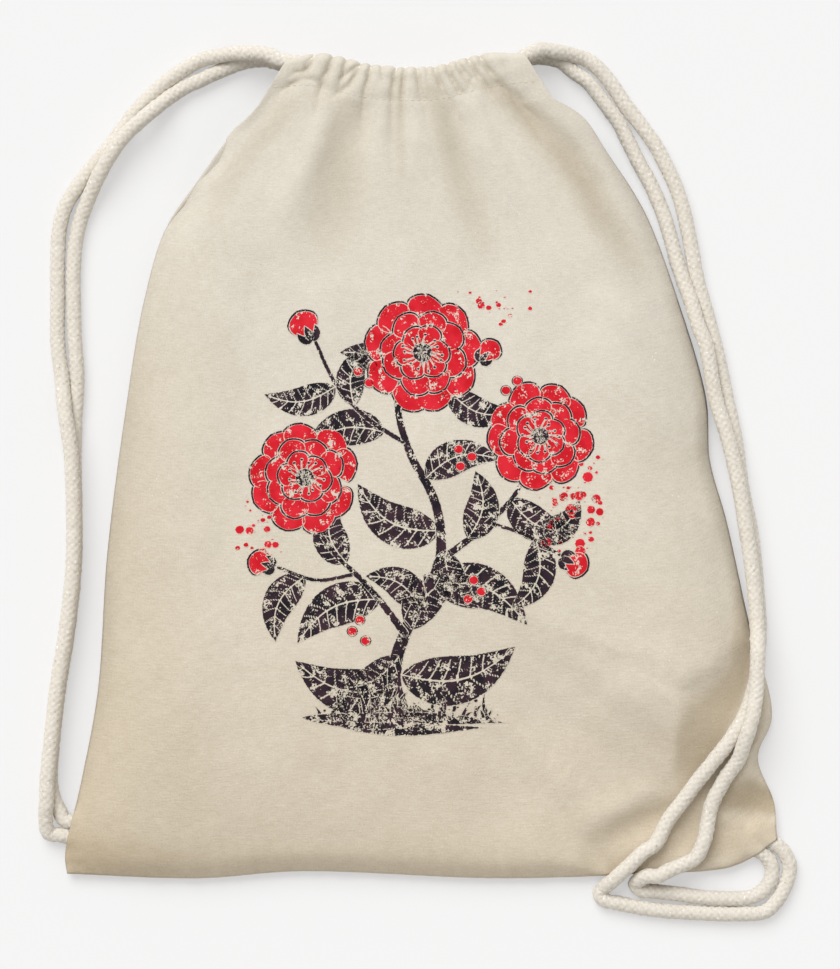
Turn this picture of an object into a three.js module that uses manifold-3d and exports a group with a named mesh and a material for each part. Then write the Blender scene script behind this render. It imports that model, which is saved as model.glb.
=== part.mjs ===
// A cotton drawstring backpack lying on its back, its mouth drawn shut on two cords.
// Millimetres. +X is the bag's right as seen, +Y runs to the mouth, +Z up out of the front.
import * as THREE from 'three';
import { mergeVertices } from 'three/addons/utils/BufferGeometryUtils.js';
import Module from 'manifold-3d';

const wasm = await Module();
wasm.setup();

// Sizes that can be set by themselves.
const bagWidth = 380;
const bagLength = 440;
const clothThickness = 0.8;
const seamHeight = 5;
const frontRise = 25;
const frontRim = 72;
const backRim = 14;
const seamAllowance = 8;
const seamThickness = 1;
const seamInset = 2.4;
const slitLength = 80;
const slitShow = 3;
const cordDiameter = 7.5;
const cordPlay = 0.4;
const rowGap = 0.8;
const mouthGap = 6.2;
const earLength = 21;
const pleatCount = 12;
const pleatHeight = 2.4;
const pleatReach = 1.5;
const jointGap = 1.5;
const pieceGap = 0.3;

const cordRadius = cordDiameter / 2;
const tunnelHalf = cordRadius + cordPlay;
const hemHalf = tunnelHalf + clothThickness;
const rowA = clothThickness + cordPlay + cordRadius + cordPlay;
const rowB = rowA + cordDiameter + rowGap;
const tunnelEnd = rowB + tunnelHalf;
const backHemMid = hemHalf;
const frontHemMid = 3 * hemHalf + mouthGap;

// Laid outline, as shares of bagWidth and bagLength.
const leftShape = [
  [-0.498, -0.493], [-0.501, -0.4715], [-0.478, -0.38], [-0.455, -0.271], [-0.442, -0.107],
  [-0.418, 0.057], [-0.39, 0.202], [-0.359, 0.29], [-0.314, 0.3475], [-0.268, 0.4025],
  [-0.231, 0.436],
];
const rightShape = [
  [0.497, -0.451], [0.493, -0.407], [0.47, -0.352], [0.49, -0.303], [0.457, -0.186], [0.426, -0.065],
  [0.403, 0.0075], [0.398, 0.081], [0.358, 0.202], [0.31, 0.311], [0.256, 0.384],
  [0.226, 0.42], [0.182, 0.443],
];
const bottomShape = [
  [-0.498, -0.493], [-0.313, -0.4985], [-0.172, -0.49], [0.109, -0.4985], [0.306, -0.493],
  [0.439, -0.483], [0.497, -0.451],
];
const hemShape = [[-0.231, 0.436], [-0.172, 0.429], [-0.004, 0.423], [0.095, 0.428], [0.182, 0.443]];
const mouthShape = [
  [-0.192, 0.491], [-0.144, 0.497], [-0.074, 0.4845], [-0.032, 0.481], [0.018, 0.4825], [0.081, 0.496],
  [0.141, 0.4985],
];

const edgeCurve = (shape) =>
  new THREE.CatmullRomCurve3(
    shape.map(([x, y]) => new THREE.Vector3(x * bagWidth, y * bagLength, 0)),
    false,
    'centripetal',
  );
const leftEdge = edgeCurve(leftShape);
const rightEdge = edgeCurve(rightShape);
const bottomEdge = edgeCurve(bottomShape);
const hemEdge = edgeCurve(hemShape);
const mouthEdge = edgeCurve(mouthShape);
const mouthWidth = mouthEdge.getLength();
const bodyLength = leftEdge.getLength();
const slitStart = 1 - slitLength / bodyLength;
const pleatFrom = earLength / mouthWidth;
const pleatTo = 1 - pleatFrom;

// Creases of the front: [x0, y0, x1, y1, half width, depth], measured from the bag's middle.
const creases = [
  [73, 185, 95, 142, 9, 4],
  [95, 142, 116, 121, 9, 4],
  [95, 89, 151, 38, 7, -2.5],
  [170, -114, 143, -178, 30, 10],
  [143, -178, 119, -205, 20, 12],
  [95, -188, 142, -192, 9, 5],
  [162, -39, 172, -119, 10, 3],
];

const clamp = (t) => Math.min(1, Math.max(0, t));
const mix = (a, b, t) => a + (b - a) * t;
const ease = (t) => clamp(t) * clamp(t) * (3 - 2 * clamp(t));
const round = (distance, reach) => 1 - (1 - clamp(distance / reach)) ** 2;
const pleatWave = (u) => {
  const share = (u - pleatFrom) / (pleatTo - pleatFrom);
  return share < 0 || share > 1 ? 0 : Math.abs(Math.sin(Math.PI * pleatCount * share));
};

// A point of the laid body, u from left to right, v from the bottom seam to the hem.
function bodyPoint(u, v) {
  const across = bottomEdge.getPointAt(u).lerp(hemEdge.getPointAt(u), v);
  const along = leftEdge.getPointAt(v).lerp(rightEdge.getPointAt(v), u);
  const low = bottomEdge.getPointAt(0).lerp(bottomEdge.getPointAt(1), u);
  const high = hemEdge.getPointAt(0).lerp(hemEdge.getPointAt(1), u);
  return across.add(along).sub(low.lerp(high, v));
}

// The front panel's slit edges lie inside those of the back panel.
const slitShift = (u, v) => {
  const open = ease((v - slitStart) / (1 - slitStart) * 2);
  return slitShow * open * (clamp(1 - u / 0.1) - clamp(1 - (1 - u) / 0.1));
};

function creaseDepth(x, y) {
  let depth = 0;
  for (const [x0, y0, x1, y1, halfWidth, deep] of creases) {
    const run = new THREE.Vector2(x1 - x0, y1 - y0);
    const off = new THREE.Vector2(x - x0, y - y0);
    const share = clamp(off.dot(run) / run.lengthSq());
    const distance = off.sub(run.multiplyScalar(share)).length();
    depth += deep * Math.exp(-((distance / halfWidth) ** 2));
  }
  return depth;
}

function seamDistances(u, v) {
  const width = leftEdge.getPointAt(v).distanceTo(rightEdge.getPointAt(v));
  return { side: Math.min(u, 1 - u) * width, bottom: v * bodyLength };
}

function frontPoint(u, v) {
  const p = bodyPoint(u, v);
  const { side, bottom } = seamDistances(u, v);
  const full = round(side, frontRim) * round(bottom, frontRim);
  const riseStart = mix(slitStart, 0.45, round(side, frontRim));
  const rise = ease((v - riseStart) / (1 - riseStart));
  const creased = full * (1 - rise) * creaseDepth(p.x, p.y);
  const seam = seamHeight + pieceGap / 2;
  const hem = frontHemMid - clothThickness / 2;
  p.z = mix(seam + frontRise * full, hem, rise) - creased;
  p.z += pleatHeight * pleatWave(u) * ease((v - 0.72) / 0.28);
  p.x += slitShift(u, v);
  p.y -= v === 1 ? pieceGap / 2 : 0;
  return p;
}

function backPoint(u, v) {
  const p = bodyPoint(u, v);
  const { side, bottom } = seamDistances(u, v);
  const flat = round(side, backRim) * round(bottom, backRim);
  const seam = seamHeight - pieceGap / 2 - clothThickness;
  p.z = mix(seam * (1 - flat), backHemMid - clothThickness / 2, ease((v - 0.93) / 0.07));
  p.y -= v === 1 ? pieceGap / 2 : 0;
  return p;
}

// A closed body from rows of points: rings[i][j], closed round j and capped at both ends.
function loft(rings) {
  const count = rings[0].length;
  const positions = rings.flat().flatMap((p) => [p.x, p.y, p.z]);
  const index = [];
  for (let i = 0; i < rings.length - 1; i += 1) {
    for (let j = 0; j < count; j += 1) {
      const a = i * count + j;
      const b = i * count + ((j + 1) % count);
      index.push(a, b, b + count, a, b + count, a + count);
    }
  }
  const addCap = (ring, start, flip) => {
    const middle = new THREE.Vector3();
    ring.forEach((p) => middle.addScaledVector(p, 1 / count));
    const centre = positions.length / 3;
    positions.push(middle.x, middle.y, middle.z);
    for (let j = 0; j < count; j += 1) {
      const next = (j + 1) % count;
      index.push(centre, start + (flip ? j : next), start + (flip ? next : j));
    }
  };
  addCap(rings[0], 0, false);
  addCap(rings[rings.length - 1], (rings.length - 1) * count, true);
  const geometry = new THREE.BufferGeometry();
  geometry.setAttribute('position', new THREE.Float32BufferAttribute(positions, 3));
  geometry.setIndex(index);
  return geometry;
}

// A sheet of even thickness over a grid of its lower face.
function sheet(point, us, vs, thickness) {
  const lower = vs.map((v) => us.map((u) => point(u, v)));
  const positions = [];
  lower.flat().forEach((p) => positions.push(p.x, p.y, p.z));
  lower.flat().forEach((p) => positions.push(p.x, p.y, p.z + thickness));
  const columns = us.length;
  const upper = us.length * vs.length;
  const index = [];
  for (let i = 0; i < vs.length - 1; i += 1) {
    for (let j = 0; j < columns - 1; j += 1) {
      const a = i * columns + j;
      const b = a + 1;
      const c = b + columns;
      const d = a + columns;
      index.push(a, d, c, a, c, b);
      index.push(upper + a, upper + b, upper + c, upper + a, upper + c, upper + d);
    }
  }
  const wall = (a, b) => index.push(a, b, b + upper, a, b + upper, a + upper);
  const last = (vs.length - 1) * columns;
  for (let j = 0; j < columns - 1; j += 1) {
    wall(j, j + 1);
    wall(last + j + 1, last + j);
  }
  for (let i = 0; i < vs.length - 1; i += 1) {
    wall((i + 1) * columns, i * columns);
    wall((i + 1) * columns - 1, (i + 2) * columns - 1);
  }
  const geometry = new THREE.BufferGeometry();
  geometry.setAttribute('position', new THREE.Float32BufferAttribute(positions, 3));
  geometry.setIndex(index);
  return geometry;
}

// Joining and cutting of closed meshes.
function toSolid(geometry) {
  const plain = geometry.clone();
  plain.deleteAttribute('normal');
  plain.deleteAttribute('uv');
  const merged = mergeVertices(plain, 1e-4);
  return new wasm.Manifold(
    new wasm.Mesh({
      numProp: 3,
      vertProperties: new Float32Array(merged.attributes.position.array),
      triVerts: new Uint32Array(merged.index.array),
    }),
  );
}

function toGeometry(solid) {
  const mesh = solid.getMesh();
  const geometry = new THREE.BufferGeometry();
  geometry.setAttribute('position', new THREE.Float32BufferAttribute(mesh.vertProperties, 3));
  geometry.setIndex(Array.from(mesh.triVerts));
  return geometry;
}

// Cord: an eight-sided tube, with a ball end where a swinging stretch turns.
function tube(points, radius, steps) {
  const section = new THREE.Shape();
  for (let i = 0; i < 8; i += 1) {
    const angle = (i * Math.PI) / 4;
    const x = radius * Math.cos(angle);
    const y = radius * Math.sin(angle);
    if (i === 0) section.moveTo(x, y);
    else section.lineTo(x, y);
  }
  const extrudePath = new THREE.CatmullRomCurve3(points, false, 'centripetal');
  return new THREE.ExtrudeGeometry(section, { steps, extrudePath, bevelEnabled: false });
}

function ball(point, radius) {
  return new THREE.SphereGeometry(radius, 8, 6).translate(point.x, point.y, point.z);
}

const vectors = (list) => list.map(([x, y, z]) => new THREE.Vector3(x, y, z));

// Hem tunnels.
const pleatLines = (perPleat) =>
  Array.from({ length: pleatCount * perPleat + 1 }, (_, i) =>
    mix(pleatFrom, pleatTo, i / (pleatCount * perPleat)));
const hemLines = [0, 0.045, 0.09, 0.13, ...pleatLines(3), 0.87, 0.91, 0.955, 1];

function hemFrame(u, shift) {
  const top = mouthEdge.getPointAt(u);
  const low = hemEdge.getPointAt(u);
  top.x += shift * slitShift(u, 1);
  low.x += shift * slitShift(u, 1);
  low.y += pieceGap / 2;
  const down = low.clone().sub(top);
  const depth = down.length();
  return { top, down: down.normalize(), depth };
}

function hemRing(u, mid, shift, outward) {
  const { top, down, depth } = hemFrame(u, shift);
  const wave = pleatWave(u);
  const chamfer = 0.5 * hemHalf;
  const taper = mix(tunnelEnd + clothThickness, depth, 0.3);
  const half = [
    [-pleatReach * wave, 0.45 * hemHalf],
    [chamfer - pleatReach * wave, hemHalf],
    [tunnelEnd - chamfer, hemHalf],
    [taper, 0.45 * hemHalf],
    [depth, clothThickness],
  ];
  const place = ([along, height], side) => {
    const puff = side === outward && along < depth ? pleatHeight * wave : 0;
    return top.clone().addScaledVector(down, along).setZ(mid + side * (height + puff));
  };
  const upper = half.map((entry) => place(entry, 1));
  const lower = half.map((entry) => place(entry, -1)).reverse();
  return [...upper, ...lower];
}

function tunnelRing(u, mid, shift) {
  const { top, down } = hemFrame(u, shift);
  const chamfer = 0.5 * tunnelHalf;
  const near = rowA - tunnelHalf;
  const outline = [
    [near, tunnelHalf - chamfer], [near + chamfer, tunnelHalf], [tunnelEnd - chamfer, tunnelHalf],
    [tunnelEnd, tunnelHalf - chamfer], [tunnelEnd, chamfer - tunnelHalf], [tunnelEnd - chamfer, -tunnelHalf],
    [near + chamfer, -tunnelHalf], [near, chamfer - tunnelHalf],
  ];
  return outline.map(([along, height]) => top.clone().addScaledVector(down, along).setZ(mid + height));
}

// The mouth side of each ear is open, so that a cord can pass from one tunnel to the other.
function earCut(mid, shift, outward, end) {
  const inner = hemFrame(end === 0 ? pleatFrom : pleatTo, shift);
  const outer = hemFrame(end, shift);
  const away = end === 0 ? -12 : 12;
  const corners = [
    inner.top.clone().addScaledVector(inner.down, -8),
    inner.top.clone().addScaledVector(inner.down, inner.depth + 8),
    outer.top.clone().addScaledVector(outer.down, outer.depth + 8).add(new THREE.Vector3(away, 0, 0)),
    outer.top.clone().addScaledVector(outer.down, -8).add(new THREE.Vector3(away, 0, 0)),
  ];
  const shape = new THREE.Shape(corners.map((p) => new THREE.Vector2(p.x, p.y)));
  const depth = 2 * hemHalf;
  const geometry = new THREE.ExtrudeGeometry(shape, { depth, bevelEnabled: false });
  const keep = 0.5;
  return geometry.translate(0, 0, outward > 0 ? mid - keep - depth : mid + keep);
}

// At the end of each ear the fold along the mouth edge is open too, where the strap leaves.
function exitCut(mid, shift, outward, end) {
  const inner = hemFrame(end === 0 ? 0.1 : 0.9, shift);
  const outer = hemFrame(end, shift);
  const away = new THREE.Vector3(end === 0 ? -12 : 12, 0, 0);
  const corners = [
    inner.top.clone().addScaledVector(inner.down, -8),
    inner.top.clone().addScaledVector(inner.down, rowA),
    outer.top.clone().addScaledVector(outer.down, rowA).add(away),
    outer.top.clone().addScaledVector(outer.down, -8).add(away),
  ];
  const shape = new THREE.Shape(corners.map((p) => new THREE.Vector2(p.x, p.y)));
  const depth = 2 * hemHalf;
  const geometry = new THREE.ExtrudeGeometry(shape, { depth, bevelEnabled: false });
  return geometry.translate(0, 0, outward > 0 ? mid + tunnelHalf - depth : mid - tunnelHalf);
}

function hemTunnel(mid, shift, outward, puffSide) {
  let body = toSolid(loft(hemLines.map((u) => hemRing(u, mid, shift, puffSide))));
  const voidRings = Array.from({ length: 23 }, (_, i) => tunnelRing(i / 22, mid, shift));
  [0, 22].forEach((i) => {
    const away = i === 0 ? -4 : 4;
    voidRings[i].forEach((p) => p.add(new THREE.Vector3(away, 0, 0)));
  });
  body = body.subtract(toSolid(loft(voidRings)));
  body = body.subtract(toSolid(earCut(mid, shift, outward, 0)));
  body = body.subtract(toSolid(earCut(mid, shift, outward, 1)));
  body = body.subtract(toSolid(exitCut(mid, shift, outward, 0)));
  body = body.subtract(toSolid(exitCut(mid, shift, outward, 1)));
  return toGeometry(body);
}

// Panels, with a notch in both where a cord end passes through the corner seam.
const rimLines = [0, 0.006, 0.018, 0.04, 0.075, 0.115];
const acrossLines = [...rimLines, ...pleatLines(2), ...rimLines.map((u) => 1 - u).reverse()];
const backColumns = [...rimLines, ...pleatLines(0.5), ...rimLines.map((u) => 1 - u).reverse()];
const bodyRows = [
  0, 0.007, 0.025, 0.06, 0.11, 0.15, 0.18, 0.22, 0.27, 0.36, 0.46, 0.56, 0.66, 0.73, 0.79,
];
const frontRows = [...bodyRows, 0.85, 0.9, 0.95, 1];
const backRows = [...bodyRows, 0.86, 0.93, 1];

// Seam allowances, turned to the inside.
function seamRing(near, far) {
  const low = seamHeight - seamThickness / 2;
  const high = seamHeight + seamThickness / 2;
  return [near.clone().setZ(low), far.clone().setZ(low), far.clone().setZ(high), near.clone().setZ(high)];
}

function sideSeam(side) {
  const rows = bodyRows.filter((v) => v > 0.1 && v < slitStart).reverse();
  return loft(rows.map((v) => {
    const width = leftEdge.getPointAt(v).distanceTo(rightEdge.getPointAt(v));
    const near = seamInset / width;
    const far = (seamInset + seamAllowance) / width;
    const [from, to] = side < 0 ? [near, far] : [1 - far, 1 - near];
    return seamRing(bodyPoint(from, v), bodyPoint(to, v));
  }));
}

const bottomColumns = Array.from({ length: 25 }, (_, i) => mix(0.07, 0.93, i / 24));

function bottomSeam() {
  const near = seamInset / bodyLength;
  const far = (seamInset + seamAllowance) / bodyLength;
  return loft(bottomColumns.map((u) => seamRing(bodyPoint(u, near), bodyPoint(u, far))));
}

// Each strap swings about the line from its exit at the mouth to its lower end.
const leftHinge = { top: [-117, 217, 4.2], bottom: [-192, -196.5, 5] };
const rightHinge = { top: [87, 217, 4.2], bottom: [125, -217.5, 13.5] };
const rightCrossing = 17;
const strandSpacing = cordDiameter + rowGap;

// Routes of the cord centres, as they lie.
const leftOuterRoute = [
  [-121.5, 215, 4], [-130.5, 209.5, 4], [-138.5, 203.5, 4], [-145.5, 197, 4], [-153, 189, 4],
  [-160.5, 179, 4], [-168, 169, 4], [-176, 159.5, 4], [-183, 150.5, 4], [-190.5, 138, 4],
  [-193.5, 126.5, 4], [-194.5, 110.5, 4], [-194.5, 89, 4], [-194.5, 67.5, 4], [-192, 46, 6],
  [-190, 29, 10.7], [-187, 9, 11.9], [-185.5, -23, 11.9], [-186, -55.5, 11.9], [-189.5, -87.5, 11.9],
  [-194.5, -119.5, 11.9], [-198, -151.5, 11.9], [-199.5, -167, 11.9], [-199.8, -178, 11.2],
  [-200.5, -187, 8.6], [-199, -195.2, 5.6],
];
const leftInnerRoute = [
  [-124, 203.5, 4], [-133, 198, 5], [-141, 191.5, 8.5], [-149, 184.5, 11.9], [-158.5, 175.5, 11.9],
  [-165.5, 166, 11.9], [-172, 155, 9.8], [-177.5, 143.5, 6], [-182.5, 130.5, 4], [-185, 118.5, 4],
  [-186, 105, 4], [-186, 89, 4], [-185.5, 70, 4], [-184, 46, 4], [-185, 29, 4], [-185.5, 14, 4],
  [-185.5, -7, 4], [-185, -39, 4], [-186, -60.5, 4], [-189, -87.5, 4], [-194, -119.5, 4],
  [-197.5, -151.5, 4], [-198.3, -166, 4], [-196.8, -176, 4.1], [-193.8, -182.8, 4.5],
];
const rightOuterRoute = [
  [93, 213, 4], [101, 203.5, 4], [108, 193, 4], [116, 182.5, 4], [124, 171.5, 4], [129.5, 161, 4],
  [134.5, 150.5, 4], [138.5, 138.5, 4], [142.5, 121, 4], [146.5, 99.5, 4], [152.5, 78, 4],
  [158, 56, 4], [162.5, 34.5, 4], [167, 13, 4], [170.5, -12.5, 4], [174.5, -31, 4], [177, -50, 4],
  [178.5, -68.5, 4.5], [179.5, -84.5, 7], [178.5, -98, 12.3], [177, -114, 13.5], [171, -131.5, 17.3],
  [162.5, -145.5, 19.6], [154, -156.5, 18.2], [145.5, -167.5, 15.7], [138, -178, 13.6],
  [130.5, -188, 12.7],
];
const rightInnerRoute = [
  [93, 199, 4], [99, 191, 4], [104.5, 183.5, 4], [109.5, 173.5, 4], [115, 162.5, 4], [120.5, 152.5, 4],
  [126, 140.5, 4], [130, 129.5, 4], [133, 119, 4], [136, 108, 4.2], [139.5, 97.5, 5.5],
  [143, 87.5, 7.5], [147, 74, 9.5], [150.5, 65, 10.5], [156, 35.5, 10], [162.5, 14, 11.3],
  [168.5, -12.5, 12], [171.5, -31, 12], [174.5, -50, 12], [176.5, -68.5, 12.6], [177.5, -84.5, 14.8],
  [177.5, -98, 20.8], [176.5, -119.5, 22.5], [174.5, -131.5, 25], [172, -140.5, 25],
  [169.5, -148.5, 22.7], [167.5, -155, 19.7], [162.5, -162.5, 16.8], [158.5, -169, 15.5],
  [153.5, -179.5, 14.5], [151.5, -189, 14], [149.5, -198.5, 14.7], [145, -207.5, 13.9],
  [138, -211.5, 13.2], [131, -214.5, 13.2],
];
const leftOuterExit = [
  [-109, 218.5, 7.5], [-100, 219.5, 11.5], [-91, 219.5, 15.5], [-82.5, 218.5, 18.5],
  [-74.5, 215, 20.5],
];
const leftInnerExit = [
  [-113, 208.5, 4], [-105, 212, 4], [-97, 215, 4.1], [-89.5, 216.5, 4.3], [-82.5, 216.5, 4.6],
  [-74.5, 214.5, 4.95],
];
const rightOuterExit = [
  [80, 219, 7], [71.5, 220.5, 11.5], [62.5, 221, 15.5], [55.5, 218, 18.5], [50.5, 214, 20.5],
  [46.5, 209.5, 21],
];
const rightInnerExit = [
  [81, 210, 4], [73.5, 216, 4], [63.5, 218, 4.2], [55.5, 217, 4.6], [50.5, 213.5, 5],
  [46.5, 209.5, 5],
];
const rightOuterEnd = [
  [117, -205, 13.5], [111, -211, 12.8], [104.5, -217, 11], [100.5, -221, 9], [96.5, -224.5, 5.2],
  [94.5, -228, 4], [97, -231, 4], [105.5, -233, 4], [121.5, -236, 4], [148, -238, 4],
  [169.5, -238.5, 4], [183, -237, 4], [189.5, -230.5, 4], [193.8, -222.5, 4], [195.8, -213.5, 4],
  [193, -206, 4.3], [188, -201, 4.8], [184.5, -198.5, 5], [178.5, -195, 5],
];
const rightInnerEnd = [
  [120.5, -217.5, 12.2], [116, -219.5, 9.2], [113.5, -222.5, 4.8], [116, -225.5, 4], [124, -226.5, 4],
  [137.5, -228, 4], [148, -229.5, 4], [168, -230.3, 4], [176.5, -229, 4], [182.3, -225.3, 4],
  [185.8, -219.5, 4], [186.3, -213.5, 4.1], [184.5, -209.5, 4.3], [181, -206, 4.8], [177, -203.5, 5],
  [172, -201, 5],
];
const leftOuterEnd = [
  [-181, -198.7, 5], [-172, -200.2, 5],
];
const leftInnerEnd = [
  [-180.5, -189.3, 5], [-171.5, -190.3, 5],
];

function hingePoint(hinge, fromTop) {
  const [top, bottom] = vectors([hinge.top, hinge.bottom]);
  const along = bottom.clone().sub(top);
  const distance = fromTop < 0 ? along.length() + fromTop : fromTop;
  return top.addScaledVector(along.normalize(), distance);
}

// A swinging stretch turns on ball ends at its two points of the hinge line.
function strand(from, route, to) {
  const points = [from, ...vectors(route), to];
  const length = new THREE.CatmullRomCurve3(points, false, 'centripetal').getLength();
  const body = toSolid(tube(points, cordRadius, Math.round(length / (2.2 * cordDiameter))));
  return toGeometry(body.add(toSolid(ball(from, cordRadius))).add(toSolid(ball(to, cordRadius))));
}

// A held stretch starts clear of the ball that it carries on from.
function clearOf(point, next) {
  const away = next.clone().sub(point).normalize();
  return point.clone().addScaledVector(away, cordRadius + jointGap);
}

const leftEnds = {
  outerTop: hingePoint(leftHinge, 0),
  innerTop: hingePoint(leftHinge, 1.4 * strandSpacing),
  innerLow: hingePoint(leftHinge, -strandSpacing),
  outerLow: new THREE.Vector3(...leftHinge.bottom),
};
const rightEnds = {
  outerTop: hingePoint(rightHinge, 0),
  innerTop: hingePoint(rightHinge, 1.45 * strandSpacing),
  outerLow: hingePoint(rightHinge, -rightCrossing),
  innerLow: new THREE.Vector3(...rightHinge.bottom),
};

// A cord inside the two tunnels: through the front, round at the far end, back through the back.
function tunnelPoint(u, row, mid, shift) {
  const { top, down } = hemFrame(u, shift);
  return top.clone().addScaledVector(down, row).setZ(mid);
}

function tunnelRun(row, from, to) {
  const shares = Array.from({ length: 16 }, (_, i) => mix(from, to, i / 15));
  const front = shares.map((u) => tunnelPoint(u, row, frontHemMid, 1));
  const back = shares.map((u) => tunnelPoint(u, row, backHemMid, 0)).reverse();
  const start = front[front.length - 1].clone().lerp(back[0], 0.5);
  const out = new THREE.Vector3(Math.sign(to - from), 0, 0);
  const radius = (frontHemMid - backHemMid) / 2;
  const turn = [60, 30, 0, -30, -60].map((degrees) => {
    const angle = THREE.MathUtils.degToRad(degrees);
    const lift = new THREE.Vector3(0, 0, radius * Math.sin(angle));
    return start.clone().addScaledVector(out, radius * Math.cos(angle)).add(lift);
  });
  return [...front, ...turn, ...back];
}

function heldCord(frontExit, frontEnd, row, from, to, backExit, backEnd) {
  const front = vectors(frontExit);
  const back = vectors(backExit);
  const points = [
    clearOf(frontEnd, front[0]), ...front, ...tunnelRun(row, from, to), ...back.reverse(),
    clearOf(backEnd, back[back.length - 1]),
  ];
  const length = new THREE.CatmullRomCurve3(points, false, 'centripetal').getLength();
  return tube(points, cordRadius, Math.round(length / (0.75 * cordDiameter)));
}

function sewnEnd(from, route, stepLength) {
  const points = [clearOf(from, vectors(route)[0]), ...vectors(route)];
  const length = new THREE.CatmullRomCurve3(points, false, 'centripetal').getLength();
  return tube(points, cordRadius, Math.max(3, Math.round(length / stepLength)));
}

// The corner seams open round each cord end that is sewn into them.
function cornerNotches() {
  const wide = cordRadius + cordPlay;
  const along = (points) => toSolid(tube(points, wide, 3 * (points.length - 1)));
  const rightOuterTip = vectors(rightOuterEnd).slice(-4);
  const rightInnerTip = vectors(rightInnerEnd).slice(-4);
  return [
    along([leftEnds.outerLow, ...vectors(leftOuterEnd)]),
    along([leftEnds.innerLow, ...vectors(leftInnerEnd)]),
    along(rightOuterTip),
    along(rightInnerTip),
    toSolid(ball(leftEnds.outerLow, cordRadius + jointGap)),
    toSolid(ball(leftEnds.innerLow, cordRadius + jointGap)),
  ];
}

function notchedPanel(geometry) {
  return toGeometry(cornerNotches().reduce((panel, notch) => panel.subtract(notch), toSolid(geometry)));
}

const cotton = (color) => new THREE.MeshStandardMaterial({ color, roughness: 0.92, metalness: 0 });
const cloth = () => cotton(0xddd5c6);
const seamCloth = () => cotton(0xd2c8b4);

const bag = new THREE.Group();
function addPiece(name, geometry, material) {
  const mesh = new THREE.Mesh(geometry, material);
  mesh.name = name;
  bag.add(mesh);
}

addPiece('front_panel', notchedPanel(sheet(frontPoint, acrossLines, frontRows, clothThickness)), cloth());
addPiece('back_panel', notchedPanel(sheet(backPoint, backColumns, backRows, clothThickness)), cloth());
addPiece('front_hem_tunnel', hemTunnel(frontHemMid, 1, 1, 1), cloth());
addPiece('back_hem_tunnel', hemTunnel(backHemMid, 0, -1, 0), cloth());
addPiece('left_seam_allowance', sideSeam(-1), seamCloth());
addPiece('right_seam_allowance', sideSeam(1), seamCloth());
addPiece('bottom_seam_allowance', bottomSeam(), seamCloth());

const cord = () => cotton(0xe6dfd1);
addPiece('left_strap_strand_outer', strand(leftEnds.outerTop, leftOuterRoute, leftEnds.outerLow), cord());
addPiece('left_strap_strand_inner', strand(leftEnds.innerTop, leftInnerRoute, leftEnds.innerLow), cord());
addPiece('right_strap_strand_outer', strand(rightEnds.outerTop, rightOuterRoute, rightEnds.outerLow), cord());
addPiece('right_strap_strand_inner', strand(rightEnds.innerTop, rightInnerRoute, rightEnds.innerLow), cord());
addPiece(
  'left_cord_in_tunnels',
  heldCord(leftOuterExit, leftEnds.outerTop, rowA, 0.1, pleatTo, leftInnerExit, leftEnds.innerTop),
  cord(),
);
addPiece(
  'right_cord_in_tunnels',
  heldCord(rightOuterExit, rightEnds.outerTop, rowB, 0.86, pleatFrom, rightInnerExit, rightEnds.innerTop),
  cord(),
);
addPiece('left_cord_end_outer', sewnEnd(leftEnds.outerLow, leftOuterEnd, 5), cord());
addPiece('left_cord_end_inner', sewnEnd(leftEnds.innerLow, leftInnerEnd, 5), cord());
addPiece('right_cord_end_outer', sewnEnd(rightEnds.outerLow, rightOuterEnd, 5.5), cord());
addPiece('right_cord_end_inner', sewnEnd(rightEnds.innerLow, rightInnerEnd, 4.5), cord());

export default bag;
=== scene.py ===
# A cotton drawstring backpack lying on its back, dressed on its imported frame.
# +X is the bag's right as seen, +Y runs to the mouth, +Z up out of the front.
# Shapes are worked out in millimetres and turned to metres when a mesh is made.
import math

import bmesh
import bpy
import numpy as np
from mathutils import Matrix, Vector, noise
from mathutils.bvhtree import BVHTree
from mathutils.interpolate import poly_3d_calc


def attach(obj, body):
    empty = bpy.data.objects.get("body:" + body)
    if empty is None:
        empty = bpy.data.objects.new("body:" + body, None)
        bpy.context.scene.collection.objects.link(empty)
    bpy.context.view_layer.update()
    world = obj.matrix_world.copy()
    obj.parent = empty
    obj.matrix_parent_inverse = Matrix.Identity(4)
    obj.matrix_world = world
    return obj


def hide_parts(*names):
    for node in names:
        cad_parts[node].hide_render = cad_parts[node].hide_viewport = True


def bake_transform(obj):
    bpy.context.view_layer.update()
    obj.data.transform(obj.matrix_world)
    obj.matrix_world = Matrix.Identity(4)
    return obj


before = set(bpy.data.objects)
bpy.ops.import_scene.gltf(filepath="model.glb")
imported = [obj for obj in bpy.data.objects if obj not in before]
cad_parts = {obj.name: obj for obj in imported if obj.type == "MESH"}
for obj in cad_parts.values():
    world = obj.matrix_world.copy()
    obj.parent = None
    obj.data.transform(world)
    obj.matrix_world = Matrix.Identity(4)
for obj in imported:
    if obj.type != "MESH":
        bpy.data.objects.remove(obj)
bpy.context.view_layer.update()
mm = 0.001
print("frame loaded:", len(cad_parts), "nodes")

# Camera: straight above and far off, as a product photograph is taken.
cameraSetup = {
    "middle": (-1.3, -9.6),  # mm, the point under the lens
    "height": 2400,  # mm
    "seenLength": 517.4,  # mm along the long side of the picture
    "sensor": 36,  # mm
    "farthest": 20,  # m that the camera sees
}


def linked(name, data):
    thing = bpy.data.objects.new(name, data)
    bpy.context.scene.collection.objects.link(thing)
    return thing


def placeCamera(setup):
    data = bpy.data.cameras.new("camera")
    data.sensor_width = setup["sensor"]
    data.lens = setup["sensor"] * setup["height"] / setup["seenLength"]
    data.clip_end = setup["farthest"]
    camera = linked("camera", data)
    camera.location = Vector((*setup["middle"], setup["height"])) * mm
    bpy.context.scene.camera = camera


placeCamera(cameraSetup)
print("camera placed")


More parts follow.
